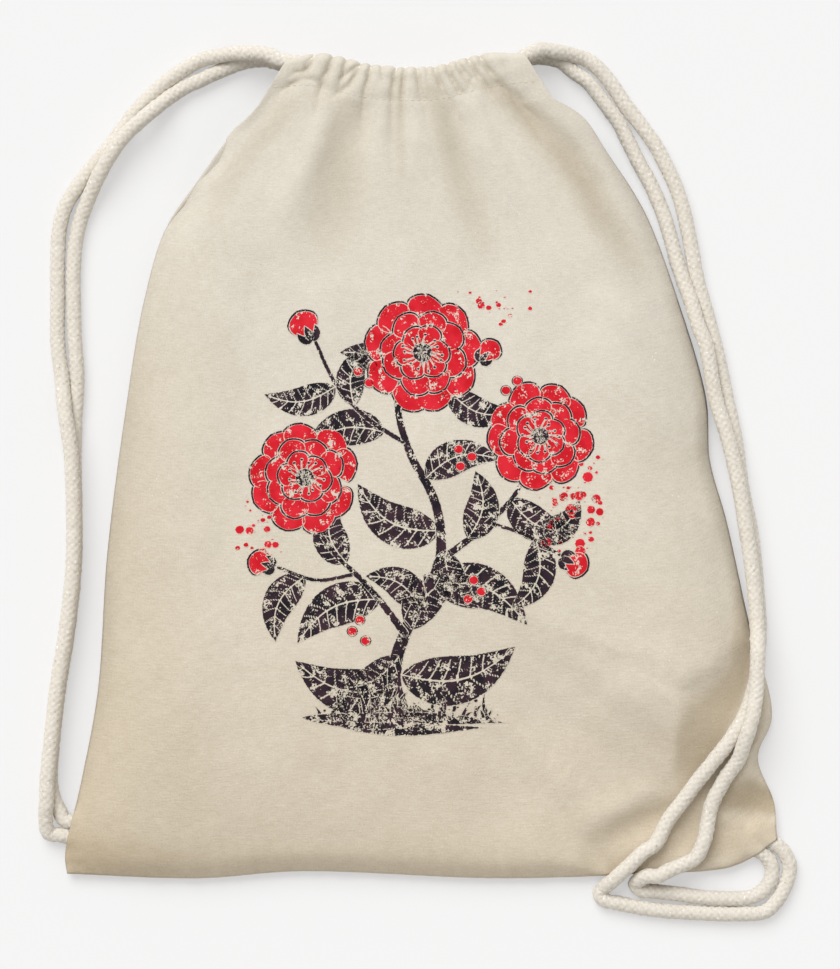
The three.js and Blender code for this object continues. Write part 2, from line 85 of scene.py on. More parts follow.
# Curves through given points.
def clamp(t):
    return np.clip(t, 0, 1)


def ease(t):
    return clamp(t) ** 2 * (3 - 2 * clamp(t))


def mix(a, b, t):
    return a + (b - a) * t


def roundRise(distance, reach):
    return 1 - (1 - clamp(distance / reach)) ** 2


def curveThrough(points, perSpan=24):  # centripetal, so it never loops between two points
    p = np.array(points, float)
    p = np.vstack([2 * p[0] - p[1], p, 2 * p[-1] - p[-2]])
    line = [p[1][None]]
    for i in range(1, len(p) - 2):
        p0, p1, p2, p3 = p[i - 1 : i + 3]
        t1 = np.linalg.norm(p1 - p0) ** 0.5
        t2 = t1 + np.linalg.norm(p2 - p1) ** 0.5
        t3 = t2 + np.linalg.norm(p3 - p2) ** 0.5
        t = np.linspace(t1, t2, perSpan + 1)[1:, None]
        a1 = mix(p0, p1, t / t1)
        a2 = mix(p1, p2, (t - t1) / (t2 - t1))
        a3 = mix(p2, p3, (t - t2) / (t3 - t2))
        b1 = mix(a1, a2, t / t2)
        b2 = mix(a2, a3, (t - t1) / (t3 - t1))
        line.append(mix(b1, b2, (t - t1) / (t2 - t1)))
    return np.vstack(line)


def runOf(line):
    steps = np.linalg.norm(np.diff(line, axis=0), axis=1)
    return np.concatenate([[0], np.cumsum(steps)])


def pointsAt(line, shares):
    run = runOf(line)
    columns = [np.interp(np.asarray(shares) * run[-1], run, line[:, k]) for k in range(line.shape[1])]
    return np.stack(columns, -1)


# Meshes: points are given in mm, and each mesh carries a map of its cloth or cord.
floorGap = 0.05  # mm that everything keeps off the floor


def addObject(name, mesh):
    mesh.shade_smooth()
    return linked(name, mesh)


def objectFrom(name, body):
    mesh = bpy.data.meshes.new(name)
    body.to_mesh(mesh)
    body.free()
    return addObject(name, mesh)


def addMap(mesh, uv):
    corner = np.zeros(len(mesh.loops), int)
    mesh.loops.foreach_get("vertex_index", corner)
    layer = mesh.uv_layers.new(name="run")
    layer.data.foreach_set("uv", uv[corner].astype(np.float32).ravel())


def paint(mesh, name, values):
    layer = mesh.attributes.new(name, "FLOAT", "POINT")
    layer.data.foreach_set("value", values.astype(np.float32))


def gridPiece(name, segments, facesDown=False):  # a grid, with the share of each point across and along it
    body = bmesh.new()
    bmesh.ops.create_grid(body, x_segments=segments[0], y_segments=segments[1], size=0.5)
    if facesDown:
        bmesh.ops.reverse_faces(body, faces=body.faces)
    piece = objectFrom(name, body)
    place = np.zeros(len(piece.data.vertices) * 3)
    piece.data.vertices.foreach_get("co", place)
    across, along = clamp(place.reshape(-1, 3)[:, :2].T + 0.5)
    return piece, across, along


def layPoints(piece, points, uv):
    piece.data.vertices.foreach_set("co", (points * mm).ravel())
    addMap(piece.data, uv * mm)
    piece.data.update()


# The bag as it lies: its outline is given in shares of width and length.
bagShape = {
    "width": 380,
    "length": 440,
    "left": [
        (-0.498, -0.493), (-0.501, -0.4715), (-0.478, -0.38), (-0.455, -0.271), (-0.442, -0.107),
        (-0.418, 0.057), (-0.39, 0.202), (-0.359, 0.29), (-0.314, 0.3475), (-0.268, 0.4025),
        (-0.231, 0.436),
    ],
    "right": [
        (0.497, -0.451), (0.493, -0.407), (0.47, -0.352), (0.49, -0.303), (0.457, -0.186),
        (0.426, -0.065), (0.403, 0.0075), (0.398, 0.081), (0.358, 0.202), (0.31, 0.311),
        (0.256, 0.384), (0.226, 0.42), (0.182, 0.443),
    ],
    "bottom": [
        (-0.498, -0.493), (-0.313, -0.4985), (-0.172, -0.49), (0.109, -0.4985), (0.306, -0.493),
        (0.439, -0.483), (0.497, -0.451),
    ],
    "hem": [(-0.231, 0.436), (-0.172, 0.429), (-0.004, 0.423), (0.095, 0.428), (0.182, 0.443)],
    "mouth": [
        (-0.192, 0.491), (-0.144, 0.497), (-0.074, 0.4845), (-0.032, 0.481), (0.018, 0.4825),
        (0.081, 0.496), (0.141, 0.4985),
    ],
    "seamHeight": 5,  # mm, as are the next seven
    "frontRise": 25,
    "frontRim": 72,
    "sideRim": 54,
    "footRim": 115,
    "backRim": 14,
    "sideTurn": 9,
    "footTurn": 12,
    "turnShare": 0.2,  # how much of its rise the cloth makes in those turns at the seams
    "middleRise": 0.45,  # share of the length from where the middle rises to the hem
    "slitLength": 80,
    "earLength": 21,  # mm of the mouth beside each exit
    # mm that the front's edge draws in from the back's, by mm down from the hem, left and right
    "leftLip": [
        (0, 1.8), (10, 3), (18, 0.8), (25, 0.9), (32, 4), (40, 5.2), (48, 3), (53, 0.7), (60, 2),
        (68, 2.8), (76, 1.2), (82, 0),
    ],
    "rightLip": [(0, 0.5), (20, 0.8), (50, 0.8), (80, 0)],
    "lipReach": 0.1,  # share of the width that is drawn in
    "flatLip": 9,  # mm of the back's edge that lies flat beside the slits
    "hemHalf": 4.95,
    "hemLow": 0.4,  # mm between the hem's middle line and its faces where it meets the body
    # mm deep, how many, how far and how often they stray from even, and how narrow they are
    "backGathers": {"depth": 2.6, "count": 12, "stray": 1.3, "often": 17, "power": 1.5},
    "hemFlatShare": 0.6,  # share of the hem's rows below the bend at the mouth edge
    "hemFill": 5.6,  # mm that the filling lifts the front at the hem, and less at its ends
    "hemFillEars": 3.7,
    "hemFillSpan": (0.05, 0.2),  # shares of the mouth from its ends: where that begins, and how long it takes
    "hemPuff": 1.6,  # mm that the gathered cloth stands over the cords
    "puffSpan": (0.06, 0.1),  # the same two shares for the gathers
    "pinch": 0.5,  # mm that the stitches draw the tunnel's cloth in
    "pinchReach": 1.5,  # mm to each side of them
    "tightPleats": (9, 6),  # mm apart, and their seed: the pleats that the stitches draw in
    "swellOver": 9,  # mm from the stitches to where the tunnel is full
    "gatherSwell": 1.25,  # how much deeper the gathers are there
    "hemBlend": 0.3,  # share of the hem's rows in which it grows out of the front
    "backPuff": (0.5, 0.4),  # how much of the gathers and of the waves the back's hem has
    "innerPuff": 0.3,  # how much of them all the inner face has
    "innerLimits": (0.35, 1.2),  # mm that it keeps off the middle, and may pass the half height
    "edgePuff": (0.5, 0.4),  # how much of them the mouth edge has, and mm that it is drawn back
    "stitchDepth": 18.3,  # mm from the mouth edge to the line that closes the tunnels
    "backHemMid": 4.95,
    "frontHemMid": 21.05,
    "endCover": 4.6,  # mm that both cloths keep off the middle of a cord end sewn in between them
    "endReach": 4.9,  # mm from its middle that they do so
    "endPower": 2.6,  # how flat the cloth's top is there, where 2 is a bell
    "overSeam": 0.15,  # mm that the laid front starts over the middle of the seam
    "frontFace": 0.8,  # mm from there to its outer face
    "pressedLeast": 0.6,  # mm below the seam that pressed cloth gets at most
    "backFace": 0.95,  # mm that the back's outer face lies below the seam
    "foldGrowth": 1.6,  # how soon folds are whole on the way in from a seam, as is the next for small waves
    "waveGrowth": 2,
    "sidePucker": 0.32,  # mm that the cloth draws up between stitches
    "footPucker": 0.4,
    "sideStitches": (260, 4, 31),  # waves along the side, how far they stray, and how often
    "footStitches": (210, 5, 23),
    "puckerReach": (6, 22, 7),  # mm from the side, past which it is gone, and mm from the foot
    "backWave": 0.35,  # mm that the back comes off the floor
    "backWaves": (30, 5),  # mm long, and their seed
    "backWaveFrom": 30,  # mm from the side
    "backRise": (0.93, 0.07),  # shares of the length: where it rises to its tunnel, and over how much
    "lipGrowth": 12,  # how soon the back's edge lies flat, from the slit's end on
    "cordClear": 0.55,  # mm between a cord and the cloth over it
    "waves": {"slow": (0.6, 38, 1), "quick": (0.25, 13, 2), "hem": (0.3, 7, 3)},  # height, length, seed
    "clothThickness": 0.45,
    "flatLength": 440,
    "flatHem": 30,
}


def edgeLine(name):
    scale = (bagShape["width"], bagShape["length"])
    return curveThrough([(x * scale[0], y * scale[1]) for x, y in bagShape[name]])


edges = {name: edgeLine(name) for name in ("left", "right", "bottom", "hem", "mouth")}
sideLength = runOf(edges["left"])[-1]
slitStart = 1 - bagShape["slitLength"] / sideLength
earShare = bagShape["earLength"] / runOf(edges["mouth"])[-1]


def bodyPlan(u, v):
    bottom, hem = pointsAt(edges["bottom"], u), pointsAt(edges["hem"], u)
    left, right = pointsAt(edges["left"], v), pointsAt(edges["right"], v)
    u, v = u[:, None], v[:, None]
    ends = [edges["bottom"][0], edges["bottom"][-1], edges["hem"][0], edges["hem"][-1]]
    return (
        mix(bottom, hem, v) + mix(left, right, u)
        - mix(mix(ends[0], ends[1], u), mix(ends[2], ends[3], u), v)
    )


def slitShift(u, v):
    left, right = (np.interp((1 - v) * sideLength, *zip(*bagShape[key])) for key in ("leftLip", "rightLip"))
    reach = bagShape["lipReach"]
    return left * clamp(1 - u / reach) - right * clamp(1 - (1 - u) / reach)


# Cords: each one is a braid of twelve yarns round a soft core. Points without a height lie on the floor.
cordShape = {
    "diameter": 7.5,
    "drawnDiameter": 8.0,  # mm over the loose fibres; the cord measures 7.5 mm when pulled
    "yarnsEachWay": 6,
    "pitch": 3.7,  # mm of cord to a yarn crossing
    "relief": 0.5,  # mm between the top of a yarn and the groove beside it
    "sides": 34,
    "step": 0.72,  # mm from ring to ring
    "onFloor": 4,  # mm, the middle of a cord that lies on the floor
    "yarnLevel": 0.62,  # how high a yarn lies halfway between over and under
    "meanHeight": 0.8,  # of the braid, where it is neither raised nor sunk
    "wander": [(0.12, 37), (0.06, 11)],  # how far the yarns stray, and over how many mm
    "lumps": (0.2, 4.5),  # mm in girth, and mm along the cord
    "tufts": (0.36, 1.7, 2.2),  # mm in girth, mm along the cord, and how many go round it
    "tuftShade": 0.3,  # how much paler a tuft is painted: a painted highlight on its raised fibres
    "tunnelPoints": 16,
    "tunnelTurn": (60, 30, 0, -30, -60),  # degrees
}
leftCord = {
    "endOuter": [(-181, -198.7, 5), (-172, -200.2, 5)],
    "outer": [
        (-121.5, 215), (-130.5, 209.5), (-138.5, 203.5), (-145.5, 197), (-153, 189), (-160.5, 179),
        (-168, 169), (-176, 159.5), (-183, 150.5), (-190.5, 138), (-193.5, 126.5), (-194.5, 110.5),
        (-194.5, 89), (-194.5, 67.5), (-192, 46, 6), (-190, 29, 10.7), (-187, 9, 11.9), (-185.5, -23, 11.9),
        (-186, -55.5, 11.9), (-189.5, -87.5, 11.9), (-194.5, -119.5, 11.9), (-198, -151.5, 11.9),
        (-199.5, -167, 11.9), (-199.8, -178, 11.2), (-200.5, -187, 8.6), (-199, -195.2, 5.6),
    ],
    "outerExit": [
        (-109, 218.5, 7.5), (-100, 219.5, 11.5), (-91, 219.5, 15.5), (-82.5, 218.5, 18.5), (-74.5, 215, 20.5),
    ],
    "row": 5.35,
    "tunnelShares": (0.1, 0.836),
    "innerExit": [
        (-113, 208.5), (-105, 212), (-97, 215, 4.1), (-89.5, 216.5, 4.3), (-82.5, 216.5, 4.6),
        (-74.5, 214.5, 4.95),
    ],
    "inner": [
        (-124, 203.5), (-133, 198, 5), (-141, 191.5, 8.5), (-149, 184.5, 11.9), (-158.5, 175.5, 11.9),
        (-165.5, 166, 11.9), (-172, 155, 9.8), (-177.5, 143.5, 6), (-182.5, 130.5), (-185, 118.5),
        (-186, 105), (-186, 89), (-185.5, 70), (-184, 46), (-185, 29), (-185.5, 14), (-185.5, -7),
        (-185, -39), (-186, -60.5), (-189, -87.5), (-194, -119.5), (-197.5, -151.5), (-198.3, -166),
        (-196.8, -176, 4.1), (-193.8, -182.8, 4.5),
    ],
    "endInner": [(-180.5, -189.3, 5), (-171.5, -190.3, 5)],
    "hinge": ((-117, 217, 4.2), (-192, -196.5, 5)),
    "innerTopRun": 11.62,  # mm down the hinge line
    "lowRuns": (0, -8.3),  # mm from its low end, of the outer and the inner strand
    "seed": 17,
}
rightCord = {
    "outer": [
        (93, 213), (101, 203.5), (108, 193), (116, 182.5), (124, 171.5), (129.5, 161), (134.5, 150.5),
        (138.5, 138.5), (142.5, 121), (146.5, 99.5), (152.5, 78), (158, 56), (162.5, 34.5), (167, 13),
        (170.5, -12.5), (174.5, -31), (177, -50), (178.5, -68.5, 4.5), (179.5, -84.5, 7), (178.5, -98, 12.3),
        (177, -114, 13.5), (171, -131.5, 17.3), (162.5, -145.5, 19.6), (154, -156.5, 18.2),
        (145.5, -167.5, 15.7), (138, -178, 13.6), (130.5, -188, 12.7),
    ],
    "inner": [
        (93, 199), (99, 191), (104.5, 183.5), (109.5, 173.5), (115, 162.5), (120.5, 152.5), (126, 140.5),
        (130, 129.5), (133, 119), (136, 108, 4.2), (139.5, 97.5, 5.5), (143, 87.5, 7.5), (147, 74, 9.5),
        (150.5, 65, 10.5), (156, 35.5, 10), (162.5, 14, 11.3), (168.5, -12.5, 12), (171.5, -31, 12),
        (174.5, -50, 12), (176.5, -68.5, 12.6), (177.5, -84.5, 14.8), (177.5, -98, 20.8),
        (176.5, -119.5, 22.5), (174.5, -131.5, 25), (172, -140.5, 25), (169.5, -148.5, 22.7),
        (167.5, -155, 19.7), (162.5, -162.5, 16.8), (158.5, -169, 15.5), (153.5, -179.5, 14.5),
        (151.5, -189, 14), (149.5, -198.5, 14.7), (145, -207.5, 13.9), (138, -211.5, 13.2),
        (131, -214.5, 13.2),
    ],
    "outerExit": [
        (80, 219, 7), (71.5, 220.5, 11.5), (62.5, 221, 15.5), (55.5, 218, 18.5), (50.5, 214, 20.5),
        (46.5, 209.5, 21),
    ],
    "innerExit": [
        (81, 210), (73.5, 216), (63.5, 218, 4.2), (55.5, 217, 4.6), (50.5, 213.5, 5), (46.5, 209.5, 5),
    ],
    "row": 13.65,
    "tunnelShares": (0.86, 0.164),
    "hinge": ((87, 217, 4.2), (125, -217.5, 13.5)),
    "innerTopRun": 12.035,
    "lowRuns": (-17, 0),
    "endOuter": [
        (117, -205, 13.5), (111, -211, 12.8), (104.5, -217, 11), (100.5, -221, 9), (96.5, -224.5, 5.2),
        (94.5, -228), (97, -231), (105.5, -233), (121.5, -236), (148, -238), (169.5, -238.5), (183, -237),
        (189.5, -230.5), (193.8, -222.5), (195.8, -213.5), (193, -206, 4.3), (188, -201, 4.8),
        (184.5, -198.5, 5), (178.5, -195, 5),
    ],
    "endInner": [
        (120.5, -217.5, 12.2), (116, -219.5, 9.2), (113.5, -222.5, 4.8), (116, -225.5), (124, -226.5),
        (137.5, -228), (148, -229.5), (168, -230.3), (176.5, -229), (182.3, -225.3), (185.8, -219.5),
        (186.3, -213.5, 4.1), (184.5, -209.5, 4.3), (181, -206, 4.8), (177, -203.5, 5), (172, -201, 5),
    ],
    "seed": 59,
}


def hingePoint(cord, end, run):  # on a strap's hinge line, by mm down from its top (0) or its low end (1)
    top, low = np.array(cord["hinge"], float)
    return (top, low)[end] + (low - top) / np.linalg.norm(low - top) * run


def lowPoints(cord):  # where the outer and the inner strand end
    return [hingePoint(cord, 1, run) for run in cord["lowRuns"]]


def hemFrame(u, shift):
    top, low = pointsAt(edges["mouth"], u), pointsAt(edges["hem"], u)
    for edge in (top, low):
        edge[:, 0] += shift * slitShift(u, np.ones_like(u))
    depth = np.linalg.norm(low - top, axis=1)
    return top, (low - top) / depth[:, None], depth


def tunnelRun(cord):  # through the front tunnel, round at its far end and back through the back tunnel
    first, last = cord["tunnelShares"]
    count = cordShape["tunnelPoints"]
    levels = (bagShape["frontHemMid"], bagShape["backHemMid"])
    runs = []
    for level, shift in zip(levels, (1, 0)):
        top, down, depth = hemFrame(np.linspace(first, last, count), shift)
        runs.append(np.column_stack([top + down * cord["row"], np.full(count, level)]))
    middle = (runs[0][-1] + runs[1][-1]) / 2
    radius = (levels[0] - levels[1]) / 2
    turn = [
        middle + radius * np.array([math.copysign(math.cos(a), last - first), 0, math.sin(a)])
        for a in np.radians(cordShape["tunnelTurn"])
    ]
    return [*runs[0], *turn, *runs[1][::-1]]


def braidHeight(turn, along):  # 1 at the top of a yarn, 0 in the groove
    p, q = turn + along, turn - along
    level, heights = cordShape["yarnLevel"], []
    for mine, other, sign in ((p, q, 1), (q, p, -1)):
        row = np.floor(mine)
        ridge = np.sqrt(np.clip(1 - (2 * (mine - row) - 1) ** 2, 0, 1))
        over = sign * np.cos(math.pi * (other - 0.5 + row))
        heights.append(ridge * (level + (1 - level) * over))
    return np.maximum(*heights)


def cordLine(cord):
    outerLow, innerLow = lowPoints(cord)
    points = [
        *cord["endOuter"][::-1], outerLow, *cord["outer"][::-1], cord["hinge"][0], *cord["outerExit"],
        *tunnelRun(cord), *cord["innerExit"][::-1], hingePoint(cord, 0, cord["innerTopRun"]),
        *cord["inner"], innerLow, *cord["endInner"],
    ]
    line = curveThrough([(*point, cordShape["onFloor"])[:3] for point in points], 40)
    return pointsAt(line, np.linspace(0, 1, int(runOf(line)[-1] / cordShape["step"]) + 1))


def cordFrames(line):  # a side direction carried along without twist
    tangent = np.gradient(line, axis=0)
    tangent /= np.linalg.norm(tangent, axis=1)[:, None]
    side = np.cross(tangent[0], (0, 0, 1.0))
    sides = []
    for t in tangent:
        side = side - t * (side @ t)
        side = side / np.linalg.norm(side)
        sides.append(side)
    sides = np.array(sides)
    return sides, np.cross(tangent, sides)


def cordRings(line, seed):  # rings of points round the whole cord, with the braid's height there, which also gives the painted shade in its grooves
    shape = cordShape
    sides, ups = cordFrames(line)
    angle = np.arange(shape["sides"]) / shape["sides"] * 2 * math.pi
    run = runOf(line)
    turn = angle / (2 * math.pi) * shape["yarnsEachWay"]
    wander = sum(share * np.sin(run[:, None] / length) for share, length in shape["wander"])
    height = braidHeight(turn[None] + wander, run[:, None] / shape["pitch"])
    lumpSize, lumpLength = shape["lumps"]
    lumps = np.array([noise.noise(Vector((r / lumpLength, seed, 0))) for r in run])
    tuftSize, tuftLength, girth = shape["tufts"]
    around = [(math.cos(a) * girth, math.sin(a) * girth) for a in angle]
    tufts = np.array([[noise.noise(Vector((r / tuftLength, x, y + seed))) for x, y in around] for r in run])
    radius = shape["drawnDiameter"] / 2 + shape["relief"] * (height - shape["meanHeight"])
    radius = radius + lumpSize * lumps[:, None] + tuftSize * tufts
    offset = np.cos(angle)[None, :, None] * sides[:, None] + np.sin(angle)[None, :, None] * ups[:, None]
    across = angle / 2 * shape["diameter"] * mm
    uv = np.stack(np.broadcast_arrays(across[None], run[:, None] * mm), -1)
    points = line[:, None] + offset * radius[..., None]
    points[..., 2] = np.maximum(points[..., 2], floorGap)  # it lies flat on the floor
    # the groove value is painted shade, not a shape: 0 in the grooves, 1 on the yarns' tops, more on tufts
    return {"points": points, "uv": uv, "groove": height * (1 + shape["tuftShade"] * tufts)}


def braidedCord(name, rings, first, last):  # the stretch of a cord from one ring to another
    points, uv, groove = (rings[key][first : last + 1] for key in ("points", "uv", "groove"))
    count, ringSides = groove.shape
    ring = np.arange(ringSides)
    start = (np.arange(count - 1) * ringSides)[:, None]
    after = (ring + 1) % ringSides
    faces = np.stack([start + ring, start + after, start + after + ringSides, start + ring + ringSides], -1)
    mesh = bpy.data.meshes.new(name)
    mesh.from_pydata((points.reshape(-1, 3) * mm).tolist(), [], faces.reshape(-1, 4).tolist())
    addMap(mesh, uv.reshape(-1, 2))
    piece = addObject(name, mesh)
    # the painted shade of the grooves, which the cord's colour reads
    paint(mesh, "paintedGrooveShade", clamp(groove).ravel())
    body = bmesh.new()
    body.from_mesh(mesh)
    rims = [e for e in body.edges if e.is_boundary]
    bmesh.ops.holes_fill(body, edges=rims, sides=0)
    bmesh.ops.recalc_face_normals(body, faces=body.faces)
    for face in body.faces:
        face.smooth = True
    for rim in rims:  # a cap doesn't round off the last ring
        rim.smooth = False
    body.to_mesh(mesh)
    body.free()
    return piece


def layCords():  # the right cord is cut where its ends leave the strap
    left, right = cordLine(leftCord), cordLine(rightCord)
    leftRings, rightRings = cordRings(left, leftCord["seed"]), cordRings(right, rightCord["seed"])
    cuts = [np.argmin(np.linalg.norm(right - end, axis=1)) for end in lowPoints(rightCord)]
    stretches = {
        "left_cord": (left, leftRings, 0, len(left) - 1),
        "right_cord_outer_end": (right, rightRings, 0, cuts[0]),
        "right_cord": (right, rightRings, *cuts),
        "right_cord_inner_end": (right, rightRings, cuts[1], len(right) - 1),
    }
    pieces = {name: braidedCord(name, *stretch[1:]) for name, stretch in stretches.items()}
    return pieces, {name: line[first : last + 1] for name, (line, _, first, last) in stretches.items()}


cordPieces, cordLines = layCords()
for name, line in cordLines.items():
    print("cord laid:", name, round(runOf(line)[-1]), "mm")


